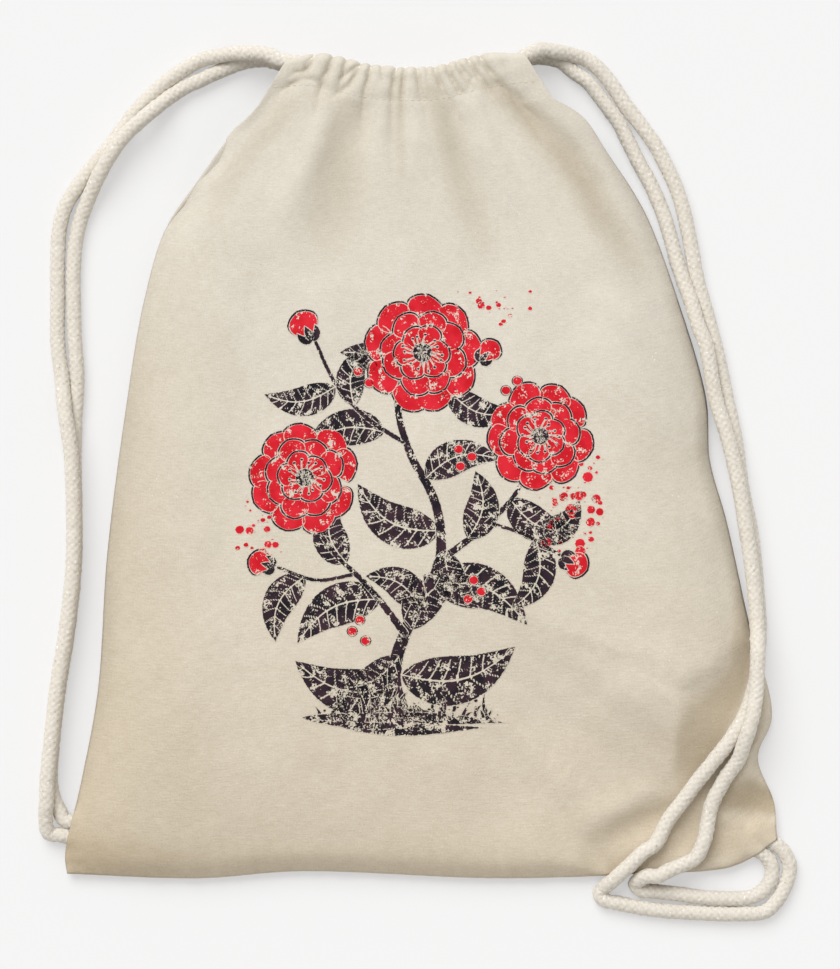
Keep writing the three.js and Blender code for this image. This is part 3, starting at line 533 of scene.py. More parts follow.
# Folds of the front cloth: runs of (x, y, half width, height) in mm, height below 0 for a valley.
frontFolds = {
    "gathers": [
        [
            (-55, 222, 1.6, -2.4), (-57.5, 216, 1.7, -3), (-62, 209, 1.9, -2.8), (-68.5, 203, 2.4, -2.2),
            (-80, 194, 4, -1.2), (-92, 187, 6, 0),
        ],
        [
            (-45.5, 221, 1.4, -2.6), (-48, 214, 1.5, -3), (-52, 205, 1.7, -2.6), (-55, 195, 2.4, -1.8),
            (-58, 182, 4, 0),
        ],
        [(-39.5, 220, 1.3, -2.2), (-40.3, 214, 1.4, -2.6), (-42.5, 205, 1.6, -2), (-46, 196, 2.4, 0)],
        [
            (-31, 220, 1.4, -2.6), (-32.5, 213, 1.5, -3), (-38, 202, 1.8, -2.6), (-46, 196, 2.4, -1.6),
            (-54, 190, 3.5, 0),
        ],
        [
            (-25.5, 219, 1.3, -2.4), (-28, 208, 1.4, -2.8), (-30.5, 198, 1.7, -2.4), (-32, 186, 2.4, -1.6),
            (-33, 166, 4, 0),
        ],
        [(-21, 218, 1.2, -1.8), (-21.5, 209, 1.3, -1.8), (-20, 200, 1.8, 0)],
        [
            (-12.5, 218, 1.4, -2.6), (-14.5, 207, 1.5, -3), (-16, 196, 1.8, -2.4), (-16.3, 180, 2.8, -1.4),
            (-15.5, 150, 5, 0),
        ],
        [(-8.2, 217, 1.3, -2.4), (-9.8, 207, 1.4, -2.6), (-10.6, 196, 1.7, -2), (-11, 172, 3.4, 0)],
        [
            (-3.4, 218, 1.4, -2.6), (-2.7, 209, 1.5, -2.8), (-1.6, 200, 1.7, -2.2), (1.5, 188, 2.6, -1.2),
            (4, 170, 4, 0),
        ],
        [(1.8, 218, 1.2, -1.8), (2.4, 209, 1.3, -1.9), (4, 201, 1.7, 0)],
        [
            (5.2, 219, 1.5, -2.8), (7, 208, 1.6, -3.1), (11, 198, 1.9, -2.6), (18, 186, 3, -1.8),
            (28, 170, 5, 0),
        ],
        [(11.8, 219, 1.4, -2.4), (14, 208, 1.5, -2.7), (19, 199, 1.8, -2.2), (26, 191, 2.6, 0)],
        [(17, 219, 1.3, -2.2), (19, 211, 1.4, -2.6), (23.5, 203, 1.7, -1.8), (29, 197, 2.4, 0)],
        [
            (22.4, 221, 1.4, -2.6), (25, 213, 1.5, -3), (31, 204, 1.8, -2.6), (38, 196, 2.6, -1.6),
            (47, 186, 4, 0),
        ],
        [(28, 222, 1.5, -2.6), (32, 213, 1.7, -3), (40, 203, 2.1, -2.6), (53, 191, 3, -2), (68, 178, 5, 0)],
        [(36, 205, 1.6, 0), (47, 194, 2.4, -1.6), (57, 182, 3.2, -1.4), (66, 169, 5, 0)],
        [(-67, 208.5, 1.3, -0.8), (-61, 205, 1.4, -1.8), (-55, 203, 1.4, -0.6)],
        [(-43.5, 204.5, 1.3, -0.8), (-39.5, 207.5, 1.4, -2), (-34.5, 212, 1.3, -1.2)],
        [(19.8, 212, 1.3, -0.8), (25.9, 205, 1.4, -1.8), (24.5, 199.6, 1.4, -0.6)],
    ],
    "soft": [
        [
            (-51, 196, 5, 0), (-51.5, 182, 6, 1.5), (-54, 171, 7, 2.2), (-62, 153, 8, 2.2),
            (-71, 134, 10, 1.4), (-78, 105, 14, 0),
        ],
        [
            (-31, 197, 7, 0), (-33, 184, 9, -2), (-38, 168, 13, -2.8), (-42, 150, 16, -2.8),
            (-45, 128, 18, -2), (-47, 96, 20, 0),
        ],
        [(-22, 196, 4, 0), (-22, 180, 5, 1.2), (-23, 165, 6, 1.2), (-26, 138, 8, 0)],
        [(-4, 190, 5, 0), (-3, 172, 7, 1.3), (0, 146, 10, 0)],
        [
            (12, 196, 4, 0), (15, 183, 5, -1.8), (20, 167, 6.5, -2.4), (28, 149, 9, -2.6), (37, 130, 11, -2),
            (48, 100, 14, 0),
        ],
        [(29, 192, 5, 0), (36, 170, 6, 1.2), (46, 146, 8, 1.2), (58, 118, 10, 0)],
        [(33, 194, 3.5, -1.2), (42, 175, 5, -1.8), (51, 158, 6, -1.2), (58, 143, 8, 0)],
        [
            (44, 195, 4, 0), (53, 188, 7, -2.4), (67, 177, 7.5, -4), (80, 164, 8, -4.4), (91, 148, 8, -4.4),
            (100, 131, 8.5, -4), (112, 113, 9, -2.6), (124, 90, 12, 0),
        ],
        [(97, 135, 4, 0), (107, 121, 4, -0.9), (122, 99, 4, -0.9), (137, 73, 5, -0.8), (150, 44, 6, 0)],
        [(84, 92, 16, 0), (97, 72, 20, 1.6), (108, 34, 22, 0)],
        [(-74, 196, 5, 0), (-86, 187, 6, -1.8), (-98, 176, 6, -1.8), (-108, 163, 7, 0)],
        [(-186, -180, 5, 0.8), (-166, -183, 6, 1.1), (-146, -192, 8, 0)],
        [(-150, 40, 22, 0), (-140, -20, 26, 0.9), (-148, -90, 22, 0)],
        [(134, -181, 6, -1), (120, -189, 8, -4.6), (104, -196, 9, -5), (84, -208, 9, 0)],
        [(128, -170, 6, 0), (112, -178, 7, 1.6), (94, -187, 8, 1.4), (76, -198, 8, 0)],
        [
            (152, -182, 2.6, 0.8), (160, -185.5, 2.8, 3), (167, -191, 2.8, 3.6), (171, -198, 2.8, 3.2),
            (173.5, -206, 3, 0),
        ],
        [(180, -150, 6, 3), (176, -160, 8, 8), (168, -168, 7, 5)],
        [(192, -184, 5, -5), (182, -185, 5, -6), (172, -184, 5, -4), (162, -180, 4, -1)],
        [(148, -178, 4, 0), (143, -190, 5, -1.8), (137, -202, 5, -1.8), (128, -210, 4, 0)],
        [(179, -122, 2, 0), (181, -132, 2.2, -1.3), (181.5, -146, 2.2, -1.3), (180, -156, 2.4, 0)],
        [(175.5, -128, 1.8, 0), (177, -138, 2, -1), (176.5, -150, 2.2, 0)],
    ],
    "laid": [
        [(95, 89, 7, 2.5), (151, 38, 7, 2.5)],
        [(162, -39, 10, -3), (172, -119, 10, -3)],
    ],
    # Under the two strands at the lower right: x, y, height, how the cloth rises on the bag's side
    # and on the corner's side, and how far it rises so on the bag's side.
    "pressed": [
        [
            (178.5, -98, 6.4, 0.95, 0, 28), (177, -114, 7.6, 0.75, 0, 28), (171, -131.5, 11.4, 0.42, 0, 36),
            (162.5, -145.5, 13.7, 0.42, 0, 29), (154, -156.5, 12.3, 0.42, 0, 22),
            (145.5, -167.5, 9.8, 0.36, 0, 12), (138, -178, 7.7, 0.26, 0, 12), (130.5, -188, 6.8, 0.26, 0, 18),
            (123.5, -200.6, 7.2, 0.26, 0, 22), (111, -211, 6.9, 0.3, 0, 22), (104.5, -217, 5.1, 0.3, 0, 22),
        ],
        [
            (167.5, -155, 13.8, 0.6, -0.15, 22), (162.5, -162.5, 10.9, 0.6, -0.3, 22),
            (158.5, -169, 9.6, 0.5, -0.3, 22), (153.5, -179.5, 8.6, 0.4, -0.22, 22),
            (151.5, -189, 8.1, 0.4, -0.12, 22), (149.5, -198.5, 8.8, 0.4, 0, 22),
            (145, -207.5, 8, 0.4, 0, 22), (131, -214.5, 7.3, 0.4, 0, 22), (125, -217.5, 7.6, 0.4, 0, 22),
        ],
    ],
    # Painted shade in hollows and dents: x, y, half width, and how much dimmer and warmer the colour is
    # painted there, 0 to 1.
    "hollows": [
        [
            (-41, 190, 8, 0.3), (-42, 169, 12, 0.5), (-46, 148, 16, 0.5), (-48, 126, 18, 0.35),
            (-47, 96, 18, 0),
        ],
        [
            (4, 199, 4, 0.5), (12, 180, 6.5, 0.55), (17.5, 161, 8.5, 0.55), (23, 142, 10, 0.45),
            (30, 124, 11, 0.3), (32, 96, 12, 0),
        ],
        [
            (36, 201, 5, 0.4), (49.5, 190, 7, 0.55), (63, 177, 8.5, 0.75), (76, 164, 9, 0.8),
            (87, 148, 9, 0.8), (95, 131.5, 9, 0.7), (108, 113, 9, 0.45), (118, 92, 9, 0),
        ],
        [
            (-62, 196, 4, 0.2), (-72, 189, 6, 0.4), (-83, 176, 7, 0.4), (-95, 162, 7, 0.35),
            (-106, 144, 8, 0.25), (-115, 124, 8, 0),
        ],
        [
            (-190, -206, 13, 0.75), (-150, -212, 12, 0.6), (-60, -211, 9, 0.35), (60, -214, 9, 0.35),
            (120, -213, 9, 0.3),
        ],
        [(136, -200, 10, 0.2), (150, -197, 12, 0.5), (166, -199, 12, 0.5), (182, -194, 10, 0.5)],
        [(-12, 204, 2.2, 0.4), (-11.5, 170, 3, 0.35), (-11, 140, 4, 0)],
    ],
    "deepHollows": [
        [
            (169, -66, 4, 0.2), (169.5, -92, 5, 0.55), (168.5, -108, 6, 0.55), (161, -121, 8.5, 0.85),
            (151.5, -133, 13.5, 0.85), (144.5, -147, 12.5, 0.85), (141, -158, 7.5, 0.75),
            (138.5, -168, 4, 0.3),
        ],
        [(150, -174, 5, 0.2), (162, -175, 8, 0.8), (174, -175, 9, 1), (184, -177, 8, 1)],
        [(84, -204, 8, 0), (104, -195, 9, 0.3), (122, -187, 7, 0.35), (134, -180, 5, 0.3)],
    ],
    "sharpness": {"gathers": 1.15, "soft": 2, "laid": 2, "hollows": 2.4, "deepHollows": 5},
    "gatherShade": 0.16,  # how much painted shade is added for each mm down in a gather
}
pressShape = {
    "underCord": 3,  # mm to each side of a cord where the cloth lies flat under it
    "farSlope": 0.15,  # how the cloth rises further off on the bag's side
    "softness": (1.5, 12),  # mm over which pressed cloth turns into free cloth, beside the cord and far off
    "softFrom": 36,  # mm from the cord
    "softOver": 40,
}


def nearestOnRun(plan, run):  # distance to a run, its other values there, and which points lie left of it
    run = np.array(run, float)
    best, left = np.full(len(plan), np.inf), np.zeros(len(plan), bool)
    values = np.zeros((len(plan), run.shape[1] - 2))
    for a, b in zip(run[:-1], run[1:]):
        step = b[:2] - a[:2]
        share = clamp((plan - a[:2]) @ step / (step @ step))[:, None]
        away = plan - a[:2] - share * step
        distance = np.linalg.norm(away, axis=1)
        near = distance < best
        values[near] = mix(a[2:], b[2:], share)[near]
        left[near] = (step[0] * away[:, 1] - step[1] * away[:, 0] > 0)[near]
        best = np.minimum(best, distance)
    return best, values.T, left


def foldHeight(plan, fold, power):  # a fold's profile; a high power has a flat top and steep sides
    distance, (half, height), _ = nearestOnRun(plan, fold)
    return height * np.exp(-((distance / half) ** power))


def foldSum(plan, kind):
    return sum(foldHeight(plan, fold, frontFolds["sharpness"][kind]) for fold in frontFolds[kind])


# Painted shade, 0 to 1: the listed shade runs, and more for each mm down in a gather.
def hollowShade(plan):
    shade = foldSum(plan, "hollows") + foldSum(plan, "deepHollows")
    return clamp(shade - frontFolds["gatherShade"] * foldSum(plan, "gathers"))


def unevenness(points, size, seed):  # slow waves of laid cloth, between -1 and 1
    shift = Vector((seed * 7.3, seed * 3.1, seed * 1.7))
    return np.array([noise.noise(Vector((x / size, y / size, 0)) + shift) for x, y in points[:, :2]]) * 1.6


def waves(plan, kind):
    height, size, seed = bagShape["waves"][kind]
    return height * unevenness(plan, size, seed)


def seamDistance(u, v):
    width = np.linalg.norm(pointsAt(edges["left"], v) - pointsAt(edges["right"], v), axis=1)
    return np.minimum(u, 1 - u) * width, v * sideLength


def rimRise(distance, turn, reach):  # the cloth turns up from a seam at once, and then domes
    return mix(roundRise(distance, reach), roundRise(distance, turn), bagShape["turnShare"])


def betweenEars(u, start, reach):  # 1 along the middle of the mouth, 0 at its two ends
    return ease((u - start) / reach) * ease((1 - start - u) / reach)


def hemLevel(u):  # how far the filled bag holds the front up where the body meets the tunnel
    return mix(bagShape["hemFillEars"], bagShape["hemFill"], betweenEars(u, *bagShape["hemFillSpan"]))


def softMin(a, b, soft):
    blend = clamp(0.5 + 0.5 * (b - a) / soft)
    return mix(b, a, blend) - soft * blend * (1 - blend)


def pressedDown(plan, height):  # cords that lie across the front press it down
    press = pressShape
    limit, closest = np.full(len(plan), np.inf), np.full(len(plan), np.inf)
    for run in frontFolds["pressed"]:
        distance, (level, outerRise, innerRise, reach), inner = nearestOnRun(plan, run)
        slope, past = np.where(inner, innerRise, outerRise), np.maximum(0, distance - press["underCord"])
        farSlope = np.where(inner, slope, press["farSlope"])
        value = level + slope * np.minimum(past, reach) + farSlope * np.maximum(0, past - reach)
        limit, closest = np.minimum(limit, value), np.minimum(closest, distance)
    limit = np.maximum(limit, bagShape["seamHeight"] - bagShape["pressedLeast"])
    spread = ease((closest - press["softFrom"]) / press["softOver"])
    return softMin(height, limit, mix(*press["softness"], spread))


def sewnCordEnds():  # the stretches of cord that lie between the two cloths at the foot's corners
    outerLow, innerLow = lowPoints(leftCord)
    return [
        [outerLow, *leftCord["endOuter"]], [innerLow, *leftCord["endInner"]],
        rightCord["endOuter"][-3:], rightCord["endInner"][-3:],
    ]


def overCordEnds(plan):  # how near each point is to a sewn-in end, 1 on it, and how high the end lies
    best, level = np.full(len(plan), np.inf), np.zeros(len(plan))
    for run in sewnCordEnds():
        distance, (height,), _ = nearestOnRun(plan, run)
        level = np.where(distance < best, height, level)
        best = np.minimum(best, distance)
    return np.exp(-((best / bagShape["endReach"]) ** bagShape["endPower"])), level


def frontSurface(u, v):  # outer face of the front between seams and hem
    shape = bagShape
    plan = bodyPlan(u, v)
    side, bottom = seamDistance(u, v)
    rim = rimRise(side, shape["sideTurn"], shape["sideRim"])
    full = rim * rimRise(bottom, shape["footTurn"], shape["footRim"])
    riseStart = mix(slitStart, shape["middleRise"], roundRise(side, shape["frontRim"]))
    rise = ease((v - riseStart) / (1 - riseStart))
    hemEnd = shape["frontHemMid"] - shape["hemLow"] + hemLevel(u)
    height = mix(shape["seamHeight"] + shape["overSeam"] + shape["frontRise"] * full, hemEnd, rise)
    height += full * (1 - rise) * foldSum(plan, "laid")
    height = pressedDown(plan, height)
    soft = foldSum(plan, "soft") * np.minimum(1, full * shape["foldGrowth"])
    height += shape["frontFace"] + soft + foldSum(plan, "gathers")
    height += waves(plan, "slow") * full + waves(plan, "quick") * np.minimum(1, full * shape["waveGrowth"])
    height += seamPucker(u, v, side, bottom)
    over, level = overCordEnds(plan)
    height += over * np.maximum(0, level + shape["endCover"] - height)
    plan[:, 0] += slitShift(u, v)
    return np.column_stack([plan, height])


def pucker(share, kind):
    count, stray, often = bagShape[kind]
    return np.sin(share * count + stray * np.sin(share * often))


def seamPucker(u, v, side, bottom):  # the cloth draws up a little between stitches
    sideReach, sideEnd, footReach = bagShape["puckerReach"]
    alongSide = pucker(v, "sideStitches") * np.exp(-side / sideReach) * np.exp(-((side / sideEnd) ** 2))
    alongFoot = pucker(u, "footStitches") * np.exp(-bottom / footReach)
    return bagShape["sidePucker"] * alongSide * (v < slitStart) + bagShape["footPucker"] * alongFoot


def backSurface(u, v):  # outer face of the back, which lies on the floor
    shape = bagShape
    plan = bodyPlan(u, v)
    side, bottom = seamDistance(u, v)
    lip = shape["flatLip"] * ease((v - slitStart) * shape["lipGrowth"])
    flat = roundRise(side - lip, shape["backRim"]) * roundRise(bottom, shape["backRim"])
    low = (shape["seamHeight"] - shape["backFace"]) * (1 - flat) + floorGap
    riseStart, riseLength = shape["backRise"]
    height = mix(low, shape["backHemMid"] - shape["hemLow"], ease((v - riseStart) / riseLength))
    wave = clamp(unevenness(plan, *shape["backWaves"])) * ease(side / shape["backWaveFrom"])
    height += shape["backWave"] * flat * wave
    over, level = overCordEnds(plan)
    height -= over * np.maximum(0, height - (level - shape["endCover"]))
    return np.column_stack([plan, height])


def tunnelClear(along, cords):  # half the height that the two cords need inside the tunnel
    reach = cordShape["diameter"] / 2 + bagShape["cordClear"]
    return np.maximum(*(np.sqrt(np.clip(reach**2 - (along - row) ** 2, 0, None)) for row in cords))


def hemSurface(u, t, side):  # t runs 0 to 1 from the body, over the mouth edge, to the stitch line inside
    shape = bagShape
    half = shape["hemHalf"]
    top, down, depth = hemFrame(u, 1 if side > 0 else 0)
    level = shape["frontHemMid"] if side > 0 else shape["backHemMid"]
    inside = t > 0.5
    s = np.where(inside, 1 - t, t) * 2  # 0 at the body, 1 on the mouth edge
    flatShare = shape["hemFlatShare"]
    bend = clamp((s - flatShare) / (1 - flatShare)) * math.pi / 2
    flatRun = s < flatShare
    along = np.where(flatRun, mix(depth, half, clamp(s / flatShare)), half * (1 - np.sin(bend)))
    pinch = np.exp(-(((along - shape["stitchDepth"]) / shape["pinchReach"]) ** 2))
    # 0 below the stitches, 1 over the cords
    swell = ease((shape["stitchDepth"] + shape["pinchReach"] - along) / shape["swellOver"])
    plan = top + down * along[:, None]
    middle = betweenEars(u, *shape["puffSpan"])
    low = shape["hemLow"] + (hemLevel(u) if side > 0 else 0)
    height = np.where(flatRun, mix(low, half, swell), half * np.cos(bend))
    lift = np.where(flatRun, 1, np.cos(bend))
    uneven = waves(plan, "hem")
    if side > 0:
        gathers = foldSum(plan, "gathers") * mix(1, shape["gatherSwell"], swell)
        puff = shape["hemPuff"] * middle * swell + gathers + uneven
        tight = clamp(0.5 + unevenness(plan * (1, 0), *shape["tightPleats"]))
        height = height + puff * lift - shape["pinch"] * tight * pinch * middle
        height = np.maximum(height, tunnelClear(along, (leftCord["row"], rightCord["row"])))
        height = mix(frontSurface(u, np.ones_like(u))[:, 2] - level, height, ease(s / shape["hemBlend"]))
    else:
        gatherShare, waveShare = shape["backPuff"]
        puff = backGathers(u) * gatherShare + uneven * waveShare
    inner = np.where(flatRun, mix(shape["hemLow"], half, swell), half * np.cos(bend))
    least, past = shape["innerLimits"]
    inner = np.clip(inner + shape["innerPuff"] * puff * lift, least, half + past)
    edgeShare, drawnBack = shape["edgePuff"]
    edgePush = np.where(flatRun, 0, np.sin(bend)) * (puff * edgeShare - drawnBack)
    plan = plan - down * edgePush[:, None]
    return np.column_stack([plan, level + side * np.where(inside, -inner, height)])


def backGathers(u):
    gathers = bagShape["backGathers"]
    share = (u - earShare) / (1 - 2 * earShare)
    stray = gathers["stray"] * np.sin(share * gathers["often"])
    wave = np.abs(np.sin(math.pi * gathers["count"] * share + stray))
    return np.where((share > 0) & (share < 1), -gathers["depth"] * (1 - wave) ** gathers["power"], 0)


clothSetup = {
    "frontGrid": (196, 240),
    "backGrid": (120, 150),
    "bodyRows": 0.62,  # share of the rows below the stitch line
    "rowShares": (0, 0.1, 0.58, 1),  # the body's rows lie closer together at the foot and at the gathers
    "rowPlaces": (0, 0.045, 0.66, 1),
    "columnShift": 0.035,  # and its columns at the side seams
    "openFrom": 0.62,  # share of the hem past which its inner face is open beside the exits
}


def gridCloth(name, grid, surface, side):
    piece, across, row = gridPiece(name, grid, side < 0)
    setup, shape = clothSetup, bagShape
    u = across - setup["columnShift"] * np.sin(2 * math.pi * across)
    onBody = row < setup["bodyRows"]
    v = np.interp(clamp(row / setup["bodyRows"]), setup["rowShares"], setup["rowPlaces"])
    t = clamp((row - setup["bodyRows"]) / (1 - setup["bodyRows"]))
    points = np.zeros((len(u), 3))
    points[onBody] = surface(u[onBody], v[onBody])
    points[~onBody] = hemSurface(u[~onBody], t[~onBody], side)
    along = np.where(onBody, v * shape["flatLength"], shape["flatLength"] + t * 2 * shape["flatHem"])
    layPoints(piece, points, np.column_stack([u * shape["width"], along]))
    # the front's colour carries painted shade in its hollows and gathers
    if side > 0:
        paint(piece.data, "hollow", hollowShade(points[:, :2]))
    openEars(piece, (t > setup["openFrom"]) & ((u < earShare) | (u > 1 - earShare)))
    thicken(piece, shape["clothThickness"])
    return piece


def openEars(piece, lost):  # the tunnels' inner faces are open beside the exits, where the cords turn
    body = bmesh.new()
    body.from_mesh(piece.data)
    body.verts.ensure_lookup_table()
    bmesh.ops.delete(body, geom=[body.verts[i] for i in np.flatnonzero(lost)], context="VERTS")
    body.to_mesh(piece.data)
    body.free()


def thicken(piece, thickness, offset=-1):
    solid = piece.modifiers.new("thickness", "SOLIDIFY")
    solid.thickness = thickness * mm
    solid.offset = offset


frontCloth = gridCloth("front_cloth", clothSetup["frontGrid"], frontSurface, 1)
backCloth = gridCloth("back_cloth", clothSetup["backGrid"], backSurface, -1)
print("cloth laid:", len(frontCloth.data.vertices), "and", len(backCloth.data.vertices), "points")


# Seam allowances: narrow strips of the same cloth, turned to the inside.
seamSetup = {
    "inset": 2.4,  # mm, as are the next five
    "length": 400,
    "width": 8,
    "height": 5,
    "thickness": 0.9,
    "ripple": 0.12,
    "segments": (90, 3),
    "sideSpan": (0.12, 0.77),  # shares of the side and of the bottom that a strip runs along
    "bottomSpan": (0.08, 0.92),
}


def seamStrip(name, place):
    piece, run, across = gridPiece(name, seamSetup["segments"])
    plan = place(run, seamSetup["inset"] + across * seamSetup["width"])
    height = seamSetup["height"] + seamSetup["ripple"] * np.sin(run * 140) * across
    uv = np.column_stack([run * seamSetup["length"], across * seamSetup["width"]])
    layPoints(piece, np.column_stack([plan, height]), uv)
    thicken(piece, seamSetup["thickness"], 0)
    return piece


def sidePlace(side):
    def place(run, inset):
        v = mix(*seamSetup["sideSpan"], run)
        share = inset / np.linalg.norm(pointsAt(edges["left"], v) - pointsAt(edges["right"], v), axis=1)
        return bodyPlan(share if side < 0 else 1 - share, v)

    return place


def bottomPlace(run, inset):
    return bodyPlan(mix(*seamSetup["bottomSpan"], run), inset / sideLength)


seamPlaces = {"left_seam": sidePlace(-1), "right_seam": sidePlace(1), "bottom_seam": bottomPlace}
seamPieces = {name: seamStrip(name, place) for name, place in seamPlaces.items()}
print("seams laid")


# Sewing thread: one small grain a stitch, in mm, half sunk in the cloth.
stitchSetup = {"length": 2.3, "gap": 1.1, "width": 0.4, "lift": 0.06, "span": (0.015, 0.985), "samples": 700}


def stitchRow(name, line):
    run = runOf(line)
    pace = stitchSetup["length"] + stitchSetup["gap"]
    body = bmesh.new()
    for i in range(int(run[-1] / pace)):
        ends = pointsAt(line, [(i * pace + k * stitchSetup["length"]) / run[-1] for k in (0, 1)])
        middle, along = Vector(ends.mean(0)), Vector(ends[1] - ends[0])
        grain = bmesh.ops.create_uvsphere(body, u_segments=6, v_segments=5, radius=1)["verts"]
        size = (along.length / 2, stitchSetup["width"] / 2, stitchSetup["width"] / 2)
        bmesh.ops.scale(body, vec=size, verts=grain)
        bmesh.ops.rotate(body, matrix=along.to_track_quat("X", "Z").to_matrix(), verts=grain)
        bmesh.ops.translate(body, vec=middle + Vector((0, 0, stitchSetup["lift"])), verts=grain)
    bmesh.ops.scale(body, vec=(mm, mm, mm), verts=body.verts)
    return objectFrom(name, body)


def frontStitches():
    shares = np.linspace(*stitchSetup["span"], stitchSetup["samples"])
    depth = hemFrame(shares, 1)[2]
    place = bagShape["hemFlatShare"] * (depth - bagShape["stitchDepth"]) / (depth - bagShape["hemHalf"]) / 2
    return stitchRow("front_hem_stitches", hemSurface(shares, place, 1))


frontThread = frontStitches()
print("stitches sewn")


# The print: a generic flowering branch in two inks, drawn as strips that follow the cloth.
printPlan = {
    "stems": [  # points from the foot up, and the half width at the foot and at the tip
        ([(-8, -137), (-15, -110), (-6, -80), (9, -50), (7, -20), (-7, 8), (-13, 34), (-6, 52)], 4.2, 1.8),
        ([(-8, -90), (-28, -64), (-48, -44), (-60, -24)], 2.4, 1.2),
        ([(9, -50), (30, -34), (48, -16), (58, 4)], 2.4, 1.2),
        ([(-9, 12), (-30, 26), (-46, 44), (-57, 67)], 1.6, 1.3),
        ([(36, -30), (54, -36), (73, -47)], 1.4, 1.2),
        ([(-36, -57), (-56, -60), (-77, -53)], 1.4, 1.2),
        ([(-13, 30), (6, 34), (28, 54)], 1.4, 1.2),
    ],
    "leaves": [  # foot, direction in degrees, length, half width, bend
        ((-13, -116), 166, 56, 12.5, 9), ((-11, -110), 14, 62, 13.5, -10), ((-6, -86), 42, 42, 10.5, 8),
        ((-22, -70), 208, 50, 11.5, -8), ((-40, -51), 98, 34, 9.5, 7), ((6, -62), 336, 54, 12, 9),
        ((24, -38), 84, 36, 9.5, -6), ((46, -17), 336, 40, 9.5, -7), ((9, -34), 150, 50, 11.5, 9),
        ((2, -6), 14, 40, 9.5, 7), ((-20, 18), 196, 44, 10, -8), ((-36, 32), 74, 32, 8, 6),
        ((-13, 42), 150, 36, 8.5, -7), ((-46, 42), 186, 38, 8.5, 6), ((60, -38), 250, 40, 9, 8),
        ((14, 40), 344, 38, 8.5, -7), ((-62, -58), 246, 38, 9, -7), ((-1, -75), 150, 34, 9, -6),
        ((60, -37), 40, 30, 8, -5), ((-12, -100), 205, 40, 9, 6), ((12, -44), 300, 36, 9, -6),
    ],
    "blossoms": [  # middle, radius, turn in degrees
        ((0, 60), 31, 8), ((62, 16), 28, 30), ((-62, -6), 29, 50),
    ],
    "buds": [
        ((-58, 66), 118, 17, 8), ((73, -48), 335, 15, 7), ((-78, -53), 165, 14, 6.5), ((30, 55), 48, 14, 6),
    ],
    "berries": [
        (-30, -92), (-37, -87), (-33, -81), (24, -70), (31, -66), (27, -60), (-28, 44), (-34, 50), (-26, 53),
        (44, 40), (50, 45), (20, 0), (26, 5), (19, 9),
    ],
    "ground": [
        ([(-64, -132.5), (-30, -134.5), (6, -133.5), (46, -135.5)], 4.6),
        ([(-44, -137), (-10, -139), (34, -138)], 3.8), ([(-30, -131.5), (-8, -130), (14, -131.5)], 3),
    ],
    "grass": {
        "count": 52, "across": (-58, 40), "foot": (-136, -134), "half": 1.25,
        "lean": (58, 122), "length": (7, 20), "bend": (-3, 3),
    },
    "kinds": {  # how worn a strip of ink is, 0 to 1, and its rows and columns of points
        "stem": (0.3, 60, 5), "twig": (0, 60, 5), "leaf": (0.35, 72, 25), "ground": (0.7, 60, 9),
        "grass": (0.1, 12, 3), "petalRim": (0.1, 22, 7), "petal": (0.35, 22, 7), "budPetal": (0.4, 22, 7),
        "sepal": (0.2, 22, 7), "eye": (0.1, 15, 11), "stamen": (0, 9, 3), "stamenHead": (0, 9, 7),
        "berryRim": (0.1, 13, 9), "berry": (0.3, 13, 9), "drop": (0.2, 7, 5),
    },
    "twigHalf": 2,  # mm at the foot, up to which a stem is a twig
    "splatter": [  # ink, middle, spread, count, largest radius
        ("red", (78, -20), (9, 13), 90, 3.4), ("red", (-86, -32), (6, 10), 44, 2.8),
        ("red", (34, 84), (12, 6), 30, 2.4), ("black", (-6, -128), (24, 3.2), 60, 1.3),
    ],
    # count, foot, tip and half width, the last three in shares of the radius
    "petalRings": [(9, 0.42, 1, 0.31), (8, 0.22, 0.72, 0.25), (6, 0.08, 0.46, 0.2)],
    "leastDrop": 0.55,  # mm
    "farthestDrop": 1.9,  # spreads from the middle
    "petalRim": 1.1,  # mm that the black under a petal is longer, as is the next one
    "budRim": 1.2,
    "rimAside": 1,  # mm that it is wider to each side
    "sepalTurns": (-34, 0, 34),  # degrees from the bud
    "sepalShares": (0.55, 0.3),  # of the bud's length and half width
    "sepalBend": 0.05,  # mm to each degree that it is turned
    "berryHalf": 3.2,  # mm
    "berryRed": 2.5,  # mm
    "petalTurn": (-5, 5),  # degrees that a petal is off its place, by chance
    "petalLength": (0.94, 1.08),
    "petalBend": (-1.2, 1.2),  # mm
    "stamens": 14,
    "stamenHalf": (0.55, 0.4),  # mm at the foot and at the tip
    "stamenHead": 0.95,  # mm
    "stamenTurn": (-8, 8),
    "stamenBend": 0.8,  # mm
    "stamenLength": (0.26, 0.36),  # as shares of the blossom's radius, as is the next one
    "eye": 0.17,
    "lift": 0.1,  # mm over the cloth
    "redLift": 0.015,  # mm that red ink lies over the black beside it
    "eyeLift": 0.1,
    # a leaf's middle vein: mm and share of its length; and its side veins, with how open they are
    "veins": {"half": 0.42, "end": 0.93, "count": 9, "slant": 0.9, "from": 0.72, "over": 0.28, "sides": 0.86},
    "fan": {"count": 2.5, "from": 0.7, "over": 0.3, "end": 0.75, "fade": 0.3, "sides": 0.9},
    "seed": 11,
}
inkStrips = {"black": [], "red": []}
chance = np.random.default_rng(printPlan["seed"])


def strip(ink, kind, layer, line, width, cut=None):
    wear, rows, columns = printPlan["kinds"][kind]
    line = pointsAt(curveThrough(line, 8), np.linspace(0, 1, rows))
    along = np.gradient(line, axis=0)
    along /= np.linalg.norm(along, axis=1)[:, None]
    run, side = np.meshgrid(np.linspace(0, 1, rows), np.linspace(-1, 1, columns), indexing="ij")
    half = width(run)
    across = np.stack([-along[:, 1], along[:, 0]], -1)
    inkStrips[ink].append({
        "plan": line[:, None] + across[:, None] * (side * half)[..., None],
        "rim": half * (1 - np.abs(side)), "wear": np.full(run.shape, wear),
        "cut": cut(run, side, half) if cut else 0 * run, "layer": layer,
    })


